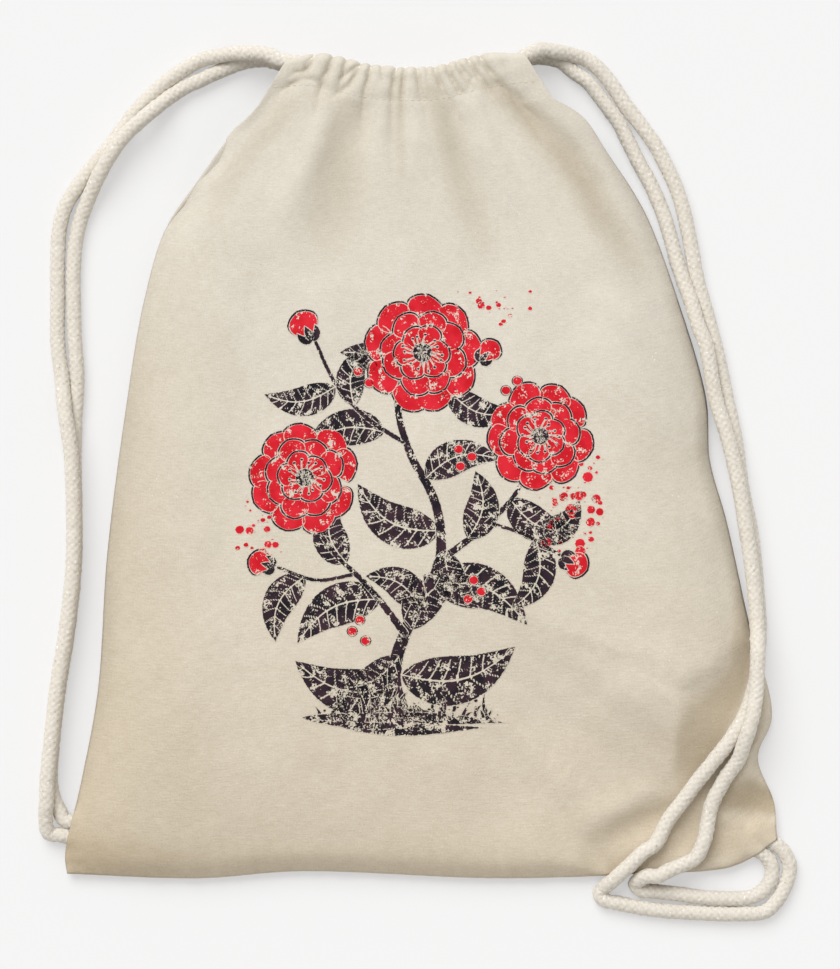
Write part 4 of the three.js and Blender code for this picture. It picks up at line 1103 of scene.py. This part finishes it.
def leafWidth(half, lean=0.72, blunt=0.85):  # widest a third of the way up
    return lambda run: half * np.sin(math.pi * run ** lean) ** blunt


def petalWidth(half):  # widest two thirds of the way out, with a blunt tip
    return leafWidth(half, 1.45, 0.62)


def discWidth(half):
    return lambda run: half * np.sqrt(np.clip(1 - (2 * run - 1) ** 2, 0, 1))


def stemWidth(foot, tip):
    return lambda run: mix(foot, tip, run) * np.sqrt(clamp(run / 0.02) * clamp((1 - run) / 0.02))


def leafVeins(run, side, half):  # a middle vein and slanting side veins, about 0.7 mm wide
    veins = printPlan["veins"]
    middle = np.exp(-((side * half / veins["half"]) ** 2)) * (run < veins["end"])
    slant = np.abs((run * veins["count"] - np.abs(side) * veins["slant"]) % 1 - 0.5) * 2
    aside = ease((slant - veins["from"]) / veins["over"]) * (np.abs(side) < veins["sides"])
    return np.maximum(middle, aside)


def petalLines(run, side, half):  # fine lines fan out from the foot of a petal
    fan = printPlan["fan"]
    line = ease((np.abs((side * fan["count"] + 0.5) % 1 - 0.5) * 2 - fan["from"]) / fan["over"])
    return line * ease((fan["end"] - run) / fan["fade"]) * (np.abs(side) < fan["sides"])


def direction(degrees):
    return np.array([math.cos(math.radians(degrees)), math.sin(math.radians(degrees))])


def bentLine(foot, degrees, length, bend):
    along, aside = direction(degrees), direction(degrees + 90)
    shares = np.linspace(0, 1, 6)
    return [np.array(foot) + along * length * s + aside * bend * math.sin(math.pi * s) for s in shares]


def disc(ink, kind, layer, middle, half):
    x, y = middle
    strip(ink, kind, layer, [(x - half, y), (x + half, y)], discWidth(half))


def petal(kind, layer, foot, degrees, length, half, bend, rim):  # red over black, which shows all round it
    line, wider = (bentLine(foot, degrees, length + extra, bend) for extra in (0, rim))
    strip("black", "petalRim", layer, wider, petalWidth(half + printPlan["rimAside"]))
    strip("red", kind, layer + printPlan["redLift"], line, petalWidth(half), petalLines)


def blossom(middle, radius, turn):  # rings of petals round a dark eye
    for ring, (count, inner, outer, half) in enumerate(printPlan["petalRings"]):
        for i in range(count):
            degrees = turn + 360 * (i + 0.5 * (ring % 2)) / count + chance.uniform(*printPlan["petalTurn"])
            foot = np.array(middle) + radius * inner * direction(degrees)
            length = radius * (outer - inner) * chance.uniform(*printPlan["petalLength"])
            bend = chance.uniform(*printPlan["petalBend"])
            layer = 2 * ring * printPlan["redLift"]
            petal("petal", layer, foot, degrees, length, radius * half, bend, printPlan["petalRim"])
    top = printPlan["eyeLift"]
    disc("black", "eye", top, middle, radius * printPlan["eye"])
    for i in range(printPlan["stamens"]):
        degrees = 360 * i / printPlan["stamens"] + chance.uniform(*printPlan["stamenTurn"])
        length = radius * chance.uniform(*printPlan["stamenLength"])
        tip = bentLine(middle, degrees, length, printPlan["stamenBend"])
        strip("black", "stamen", top, tip, stemWidth(*printPlan["stamenHalf"]))
        disc("black", "stamenHead", top, tip[-1], printPlan["stamenHead"])


def splatter(ink, middle, spread, count, largest):  # drops off the brush, small ones more often
    least, farthest = printPlan["leastDrop"], printPlan["farthestDrop"]
    for _ in range(count):
        place = np.array(middle) + np.clip(chance.normal(0, 1, 2), -farthest, farthest) * spread
        disc(ink, "drop", 0, place, mix(least, largest, chance.random() ** 3))


def grass(plan):
    for _ in range(plan["count"]):
        place = (chance.uniform(*plan["across"]), chance.uniform(*plan["foot"]))
        lean, length, bend = (chance.uniform(*plan[key]) for key in ("lean", "length", "bend"))
        strip("black", "grass", 0, bentLine(place, lean, length, bend), leafWidth(plan["half"]))


def drawPrint(plan):
    for line, foot, tip in plan["stems"]:
        strip("black", "stem" if foot > plan["twigHalf"] else "twig", 0, line, stemWidth(foot, tip))
    for foot, degrees, length, half, bend in plan["leaves"]:
        strip("black", "leaf", 0, bentLine(foot, degrees, length, bend), leafWidth(half), leafVeins)
    for place in plan["blossoms"]:
        blossom(*place)
    for foot, degrees, length, half in plan["buds"]:
        petal("budPetal", 0, foot, degrees, length, half, 0, plan["budRim"])
        lengthShare, halfShare = plan["sepalShares"]
        for turn in plan["sepalTurns"]:
            sepal = bentLine(foot, degrees + turn, length * lengthShare, turn * plan["sepalBend"])
            strip("black", "sepal", 2 * plan["redLift"], sepal, leafWidth(half * halfShare))
    for place in plan["berries"]:
        disc("black", "berryRim", 0, place, plan["berryHalf"])
        disc("red", "berry", plan["redLift"], place, plan["berryRed"])
    for line, half in plan["ground"]:
        strip("black", "ground", 0, line, leafWidth(half))
    grass(plan["grass"])
    for drops in plan["splatter"]:
        splatter(*drops)


def nearestCloth(cloth):  # the cloth's outer face from above, with the weave's own map
    mesh = cloth.data
    corners = [v.co.copy() for v in mesh.vertices]
    tree = BVHTree.FromPolygons(corners, [tuple(p.vertices) for p in mesh.polygons])
    layer = mesh.uv_layers["run"].data

    def find(x, y):
        place, _, index, _ = tree.ray_cast(Vector((x * mm, y * mm, 0.2)), Vector((0, 0, -1)))
        face = mesh.polygons[index]
        weights = poly_3d_calc([corners[i] for i in face.vertices], place)
        return place, sum((layer[k].uv * w for k, w in zip(face.loop_indices, weights)), Vector((0, 0)))

    return find


def inkFilm(name, strips, find):
    body = bmesh.new()
    values = {key: body.verts.layers.float.new(key) for key in ("rim", "wear", "cut")}
    uvs = []
    for piece in strips:
        rows, columns = piece["rim"].shape
        grid = bmesh.ops.create_grid(body, x_segments=columns - 1, y_segments=rows - 1, size=0.5)["verts"]
        for k, vert in enumerate(grid):
            i, j = divmod(k, columns)
            place, uv = find(*piece["plan"][i, j])
            vert.co = place + Vector((0, 0, (printPlan["lift"] + piece["layer"]) * mm))
            uvs.append(uv)
            for key, layer in values.items():
                vert[layer] = piece[key][i, j]
    bmesh.ops.recalc_face_normals(body, faces=body.faces)
    for face in body.faces:
        if face.normal.z < 0:
            face.normal_flip()
    film = objectFrom(name, body)
    addMap(film.data, np.array(uvs))
    return film


drawPrint(printPlan)
findCloth = nearestCloth(frontCloth)
films = {ink: inkFilm("print_" + ink, strips, findCloth) for ink, strips in inkStrips.items()}
print("print drawn:", {ink: len(film.data.polygons) for ink, film in films.items()})


# Materials. An output is a pair (node, output's name), and goes into another node as it is.
def linearColour(hexText):
    parts = [int(hexText[i : i + 2], 16) / 255 for i in (1, 3, 5)]
    return (*[c / 12.92 if c <= 0.04045 else ((c + 0.055) / 1.055) ** 2.4 for c in parts], 1)


def addNode(tree, kind, settings=None, inputs=None):  # an input is a value, a hex colour or an output
    node = tree.nodes.new("ShaderNode" + kind)
    for name, value in (settings or {}).items():
        setattr(node, name, value)
    for name, value in (inputs or {}).items():
        if isinstance(value, tuple) and isinstance(value[0], bpy.types.Node):
            tree.links.new(value[0].outputs[value[1]], node.inputs[name])
        else:
            node.inputs[name].default_value = linearColour(value) if isinstance(value, str) else value
    return node


def newMaterial(name, surface, *looks):  # surface makes the nodes and gives the output to be seen
    material = bpy.data.materials.new(name)
    material.use_nodes = True
    material.node_tree.nodes.clear()
    shown = surface(material.node_tree, *looks)
    addNode(material.node_tree, "OutputMaterial", None, {"Surface": shown})
    return material


def grainAt(tree, coords, sizeX, sizeY, detail=3.0):  # noise with grains of a size in mm along the cloth
    scale = (1000 / sizeX, 1000 / sizeY, 1)
    scaled = addNode(tree, "Mapping", None, {"Vector": (coords, "UV"), "Scale": scale})
    grain = addNode(tree, "TexNoise", None, {"Vector": (scaled, "Vector"), "Scale": 1.0, "Detail": detail})
    return grain, "Fac"


def weighted(tree, *parts):  # a sum of outputs, each with its share
    total = 0.0
    for output, share in parts:
        total = addNode(tree, "Math", {"operation": "MULTIPLY_ADD"}, {0: output, 1: share, 2: total}), "Value"
    return total


def layOver(tree, under, over, *spans, blend="MIX"):  # a colour over another, where every span lets it
    share = 1.0
    for output, low, high in spans:  # 0 at low, 1 at high; low may lie above high
        risen = addNode(tree, "MapRange", None, {"Value": output, "From Min": low, "From Max": high})
        share = addNode(tree, "Math", {"operation": "MULTIPLY"}, {0: (risen, "Result"), 1: share}), "Value"
    layer = addNode(tree, "Mix", {"data_type": "RGBA", "blend_type": blend}, {0: share, 6: under, 7: over})
    return layer, 2


def bumpySurface(tree, colour, height, look):
    bump = addNode(tree, "Bump", None, {"Height": height, **look["bump"]})
    inputs = {"Base Color": colour, "Normal": (bump, "Normal"), **look["shine"]}
    return addNode(tree, "BsdfPrincipled", None, inputs), "BSDF"


# Unbleached cotton, plain woven and not pressed: thick and thin yarns show as short streaks, more
# across than along, with pale flecks of lint and seed husk, a slow mottle, and no gloss at all.
# Its colour also carries painted shade: toward the foot, along the left edge, and in the hollows of the
# folds.
cottonLook = {
    "light": "#E6E1D5",
    "dark": "#C5BBAA",
    "fleck": "#F3EFE6",
    "foot": "#FCF6ED",  # painted shade: what the cloth is multiplied by toward the foot, darker and yellower there
    "edge": "#F2EFE9",  # and along the left edge, painted shade that makes it a little darker there
    "hollow": "#E2DCD1",  # and in the hollows of the folds, painted shade that makes them dimmer and warmer
    "yarn": 1.0,  # mm; real yarns are 0.5 mm apart, which is too fine to show
    "slub": 5.5,  # mm, the length of a thick stretch of yarn
    "warpShare": 0.6,  # of that length in the warp
    "grain": 0.9,  # mm
    "mottle": 5,  # mm
    "mottleStretch": 1.3,  # across
    "cloud": 45,  # mm
    "fleckPatch": 38,  # mm
    "fleckCells": 260.0,  # to a metre, which puts the flecks about 4 mm apart
    "yarnShares": (0.36, 0.2, 0.44),  # of the weft, the warp and the grain in the yarns' height
    "toneShares": (0.7, 0.14, 0.16),  # of the yarns, the mottle and the cloud in the tone
    "edgeShadeAcross": (0.085, 0.005),  # m from the left edge, where its painted shade begins and is full
    "edgeShadeAlong": (0.4, 0.28),  # m along the cloth, where that painted shade ends toward the mouth and where it is full
    "footShadeAlong": (0.08, -0.2),  # m from the bag's middle, where the painted shade toward the foot begins and is full
    "toneSpan": (0.3, 0.7),
    "fleckSpan": (0.16, 0.05),  # of a cell, where a fleck begins and is full
    "patchSpan": (0.52, 0.75),
    "bump": {"Strength": 0.6, "Distance": 0.0005},
    "shine": {"Roughness": 0.92, "Specular IOR Level": 0.2, "Sheen Weight": 0.08, "Sheen Roughness": 0.6},
}
# Pigment ink, screen printed on the same cotton: matt and opaque, with rough edges, worn off in
# places where the cloth shows through, and thin on the tops of the yarns.
blackInk = {"deep": "#17131B", "thin": "#3B2530", "wear": 0.578}
redInk = {"deep": "#C80F20", "thin": "#DC2434", "wear": 0.60}
inkLook = {
    "fray": 1.6,  # mm, the grain of a rough edge
    "flake": 5.5,  # mm, a place where ink is worn off
    "speck": 1.1,  # mm
    "tint": 12,  # mm
    "lossShares": (0.62, 0.38, 0.09),  # of the flakes, the specks and the strip's own wear
    "wearSoft": 0.03,  # over how much loss the ink goes from whole to gone
    "rimSpan": (0.75, 1.05),  # mm from the outline, where the ink begins and is full
    "cutSpan": (0.95, 0.7),  # how open the screen is where the ink ends and is full
    "tintSpan": (0.4, 0.62),
}


def wovenCotton(tree, look, ink=None):
    coords = addNode(tree, "TexCoord")
    weft = grainAt(tree, coords, look["slub"], look["yarn"])
    warp = grainAt(tree, coords, look["yarn"], look["slub"] * look["warpShare"])
    grain = grainAt(tree, coords, look["grain"], look["grain"], 2.0)
    mottle = grainAt(tree, coords, look["mottle"] * look["mottleStretch"], look["mottle"])
    cloud = grainAt(tree, coords, look["cloud"], look["cloud"])
    yarns = weighted(tree, *zip((weft, warp, grain), look["yarnShares"]))
    tone = weighted(tree, *zip((yarns, mottle, cloud), look["toneShares"]))
    colour = layOver(tree, look["dark"], look["light"], (tone, *look["toneSpan"]))
    cells = addNode(tree, "TexVoronoi", None, {"Vector": (coords, "UV"), "Scale": look["fleckCells"]})
    patch = grainAt(tree, coords, look["fleckPatch"], look["fleckPatch"], 2.0)
    flecks = ((cells, "Distance"), *look["fleckSpan"]), (patch, *look["patchSpan"])
    colour = layOver(tree, colour, look["fleck"], *flecks)
    run, place = (addNode(tree, "SeparateXYZ", None, {"Vector": (coords, key)}) for key in ("UV", "Object"))
    # painted shade: darker along the left edge, dimmer and warmer in the hollows of the folds, and darker and
    # yellower toward the foot
    hollow = addNode(tree, "Attribute", {"attribute_name": "hollow"})
    tints = {
        "edge": [((run, "X"), *look["edgeShadeAcross"]), ((run, "Y"), *look["edgeShadeAlong"])],
        "hollow": [((hollow, "Fac"), 0, 1)],
        "foot": [((place, "Y"), *look["footShadeAlong"])],
    }
    for tint, spans in tints.items():
        colour = layOver(tree, colour, look[tint], *spans, blend="MULTIPLY")
    if ink:
        colour = printedInk(tree, coords, colour, {**inkLook, **ink})
    return bumpySurface(tree, colour, yarns, look)


def printedInk(tree, coords, cloth, look):
    rim, wear, cut = (  # mm from the outline, 0 for whole to 1 for badly worn, and lines open in the screen
        (addNode(tree, "Attribute", {"attribute_name": name}), "Fac") for name in ("rim", "wear", "cut")
    )
    fray, flake, speck, tint = (
        grainAt(tree, coords, look[name], look[name], detail)
        for name, detail in (("fray", 3.0), ("flake", 8.0), ("speck", 2.0), ("tint", 6.0))
    )
    loss = weighted(tree, *zip((flake, speck, wear), look["lossShares"]))
    ink = layOver(tree, look["deep"], look["thin"], (tint, *look["tintSpan"]))
    return layOver(
        tree, cloth, ink,
        (weighted(tree, (rim, 1), (fray, 1)), *look["rimSpan"]),
        (loss, look["wear"] + look["wearSoft"], look["wear"]),
        (weighted(tree, (fray, 0.5), (cut, 1)), *look["cutSpan"]),
    )


# Braided cotton cord: soft thick yarns laid over each other, paler than the cloth, with painted shade in the
# grooves between yarns and paler painted tops on yarns and tufts, brown and white specks of fibre, and a soft
# nap that pales every edge.
cordLook = {
    # top is the colour painted on the yarns' tops, as if lit, and the groove colour is the painted shade
    # between yarns
    "top": "#E7E2D8",
    "groove": "#D1C8B9",
    "lint": "#FFFDF8",
    "husk": "#B9AA94",
    "fuzz": (2.4, 0.8),  # mm round the cord and along it
    "speck": 1.5,  # mm
    "stain": 16,  # mm
    "toneShares": (0.34, 0.36, 0.34, 0.2),  # of the painted groove shade, the fuzz, the specks and the stains
    "toneSpan": (0.48, 0.88),
    "huskSpan": (0.36, 0.22),
    "lintSpan": (0.64, 0.76),
    "bump": {"Strength": 0.5, "Distance": 0.0003},
    "shine": {"Roughness": 0.95, "Specular IOR Level": 0.15, "Sheen Weight": 0.4, "Sheen Roughness": 0.45},
}


def braidedCotton(tree, look):
    coords = addNode(tree, "TexCoord")
    # the painted shade: 0 in the grooves between yarns, 1 on their lit tops and more on tufts
    groove = addNode(tree, "Attribute", {"attribute_name": "paintedGrooveShade"}), "Fac"
    fuzz = grainAt(tree, coords, *look["fuzz"])
    speck = grainAt(tree, coords, look["speck"], look["speck"], 2.0)
    stain = grainAt(tree, coords, look["stain"], look["stain"])
    tone = weighted(tree, *zip((groove, fuzz, speck, stain), look["toneShares"]))
    colour = layOver(tree, look["groove"], look["top"], (tone, *look["toneSpan"]))
    colour = layOver(tree, colour, look["husk"], (speck, *look["huskSpan"]))
    colour = layOver(tree, colour, look["lint"], (speck, *look["lintSpan"]))
    return bumpySurface(tree, colour, fuzz, look)


# Spun cotton sewing thread: two plies twisted, with a faint lustre.
threadLook = {
    "light": "#DED6C7",
    "dark": "#CFC4AE",
    "plies": 2500.0,  # to a metre, or 0.4 mm each
    "roughness": 0.7,
}


def sewingThread(tree, look):
    coords = addNode(tree, "TexCoord")
    plies = addNode(tree, "TexNoise", None, {"Vector": (coords, "Object"), "Scale": look["plies"]}), "Fac"
    colour = layOver(tree, look["light"], look["dark"], (plies, 0, 1))
    inputs = {"Base Color": colour, "Roughness": look["roughness"]}
    return addNode(tree, "BsdfPrincipled", None, inputs), "BSDF"


cotton = newMaterial("unbleached woven cotton", wovenCotton, cottonLook)
blackPrint = newMaterial("black pigment ink screen printed on cotton", wovenCotton, cottonLook, blackInk)
redPrint = newMaterial("red pigment ink screen printed on cotton", wovenCotton, cottonLook, redInk)
cordCotton = newMaterial("braided cotton cord", braidedCotton, cordLook)
thread = newMaterial("spun cotton thread", sewingThread, threadLook)
print("materials made")


# Dressing: each piece gets its material, all but the two strap cords ride on the bag, and a piece that stands
# for frame nodes hides them.
def dress(piece, material, body="bag", nodes=()):
    piece.data.materials.append(material)
    if body:
        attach(piece, body)
    if nodes:
        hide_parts(*nodes)


dress(frontCloth, cotton, "bag", ("front_panel", "front_hem_tunnel"))
dress(backCloth, cotton, "bag", ("back_panel", "back_hem_tunnel"))
dress(frontThread, thread)
dress(films["black"], blackPrint)
dress(films["red"], redPrint)
for name, piece in seamPieces.items():
    dress(piece, cotton, "bag", (name + "_allowance",))

cutEnds = {"right_cord_outer_end": "right_cord_end_outer", "right_cord_inner_end": "right_cord_end_inner"}


def bendStrap(piece):
    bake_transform(piece)


for strap, cord in (("left", leftCord), ("right", rightCord)):
    piece = cordPieces[strap + "_cord"]
    sideNodes = [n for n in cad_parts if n.startswith(strap + "_") and "seam" not in n]
    dress(piece, cordCotton, None, [n for n in sideNodes if n not in cutEnds.values()])
    bendStrap(piece)
for name, node in cutEnds.items():
    dress(cordPieces[name], cordCotton, "bag", (node,))
for name, piece in cordPieces.items():
    line = cordLines[name] * mm
print("pieces dressed")


# A pale floor, an even sky and one broad soft light from the upper left.
stageSetup = {
    "floor": {"colour": "#F1F1F1", "size": 8, "drop": 0.0001},  # m, and it lies just below the bag
    "shadeLift": 0.5,  # how far the floor's shadow is lightened for the lens
    "sky": {"seen": "#F4F4F4", "colour": (1.0, 0.98, 0.95, 1), "strength": 0.55},
    "sun": {"from": (-0.37, 0.78, 0.95), "spread": 44, "strength": 2.3, "colour": (1.0, 1.01, 1.03)},
}


def mattPaper(tree, colour, shadeLift):  # a matt sheet, so it shows no reflection
    inputs = {"Base Color": colour, "Roughness": 1, "Specular IOR Level": 0}
    sheet = addNode(tree, "BsdfPrincipled", None, inputs)
    rays = addNode(tree, "LightPath")
    lift = addNode(tree, "Math", {"operation": "MULTIPLY"}, {0: (rays, "Is Camera Ray"), 1: shadeLift})
    glow = addNode(tree, "Emission", None, {"Color": colour, "Strength": 1.0})
    inputs = {0: (lift, "Value"), 1: (sheet, "BSDF"), 2: (glow, "Emission")}
    return addNode(tree, "MixShader", None, inputs), "Shader"


def layFloor(setup, shadeLift):
    body = bmesh.new()
    bmesh.ops.create_grid(body, x_segments=1, y_segments=1, size=setup["size"] / 2)
    bmesh.ops.translate(body, vec=(0, 0, -setup["drop"]), verts=body.verts)
    floor = objectFrom("floor", body)
    floor.data.materials.append(newMaterial("matt white paper", mattPaper, setup["colour"], shadeLift))


def hangSky(sky):
    world = bpy.data.worlds.new("sky")
    bpy.context.scene.world = world
    world.use_nodes = True
    tree = world.node_tree
    tree.nodes.clear()
    rays = addNode(tree, "LightPath")
    light = addNode(tree, "Background", None, {"Color": sky["colour"], "Strength": sky["strength"]})
    seen = addNode(tree, "Background", None, {"Color": sky["seen"], "Strength": 1.0})
    inputs = {0: (rays, "Is Camera Ray"), 1: (light, "Background"), 2: (seen, "Background")}
    both = addNode(tree, "MixShader", None, inputs)
    addNode(tree, "OutputWorld", None, {"Surface": (both, "Shader")})


def hangSun(sun):
    lamp = bpy.data.lights.new("soft light", "SUN")
    lamp.energy, lamp.angle, lamp.color = sun["strength"], math.radians(sun["spread"]), sun["colour"]
    holder = linked("soft light", lamp)
    holder.rotation_euler = (-Vector(sun["from"])).to_track_quat("-Z", "Y").to_euler()
    holder.location = Vector(sun["from"]).normalized() * 2


layFloor(stageSetup["floor"], stageSetup["shadeLift"])
hangSky(stageSetup["sky"])
hangSun(stageSetup["sun"])
bpy.context.scene.view_settings.view_transform = "Standard"
print("stage built")
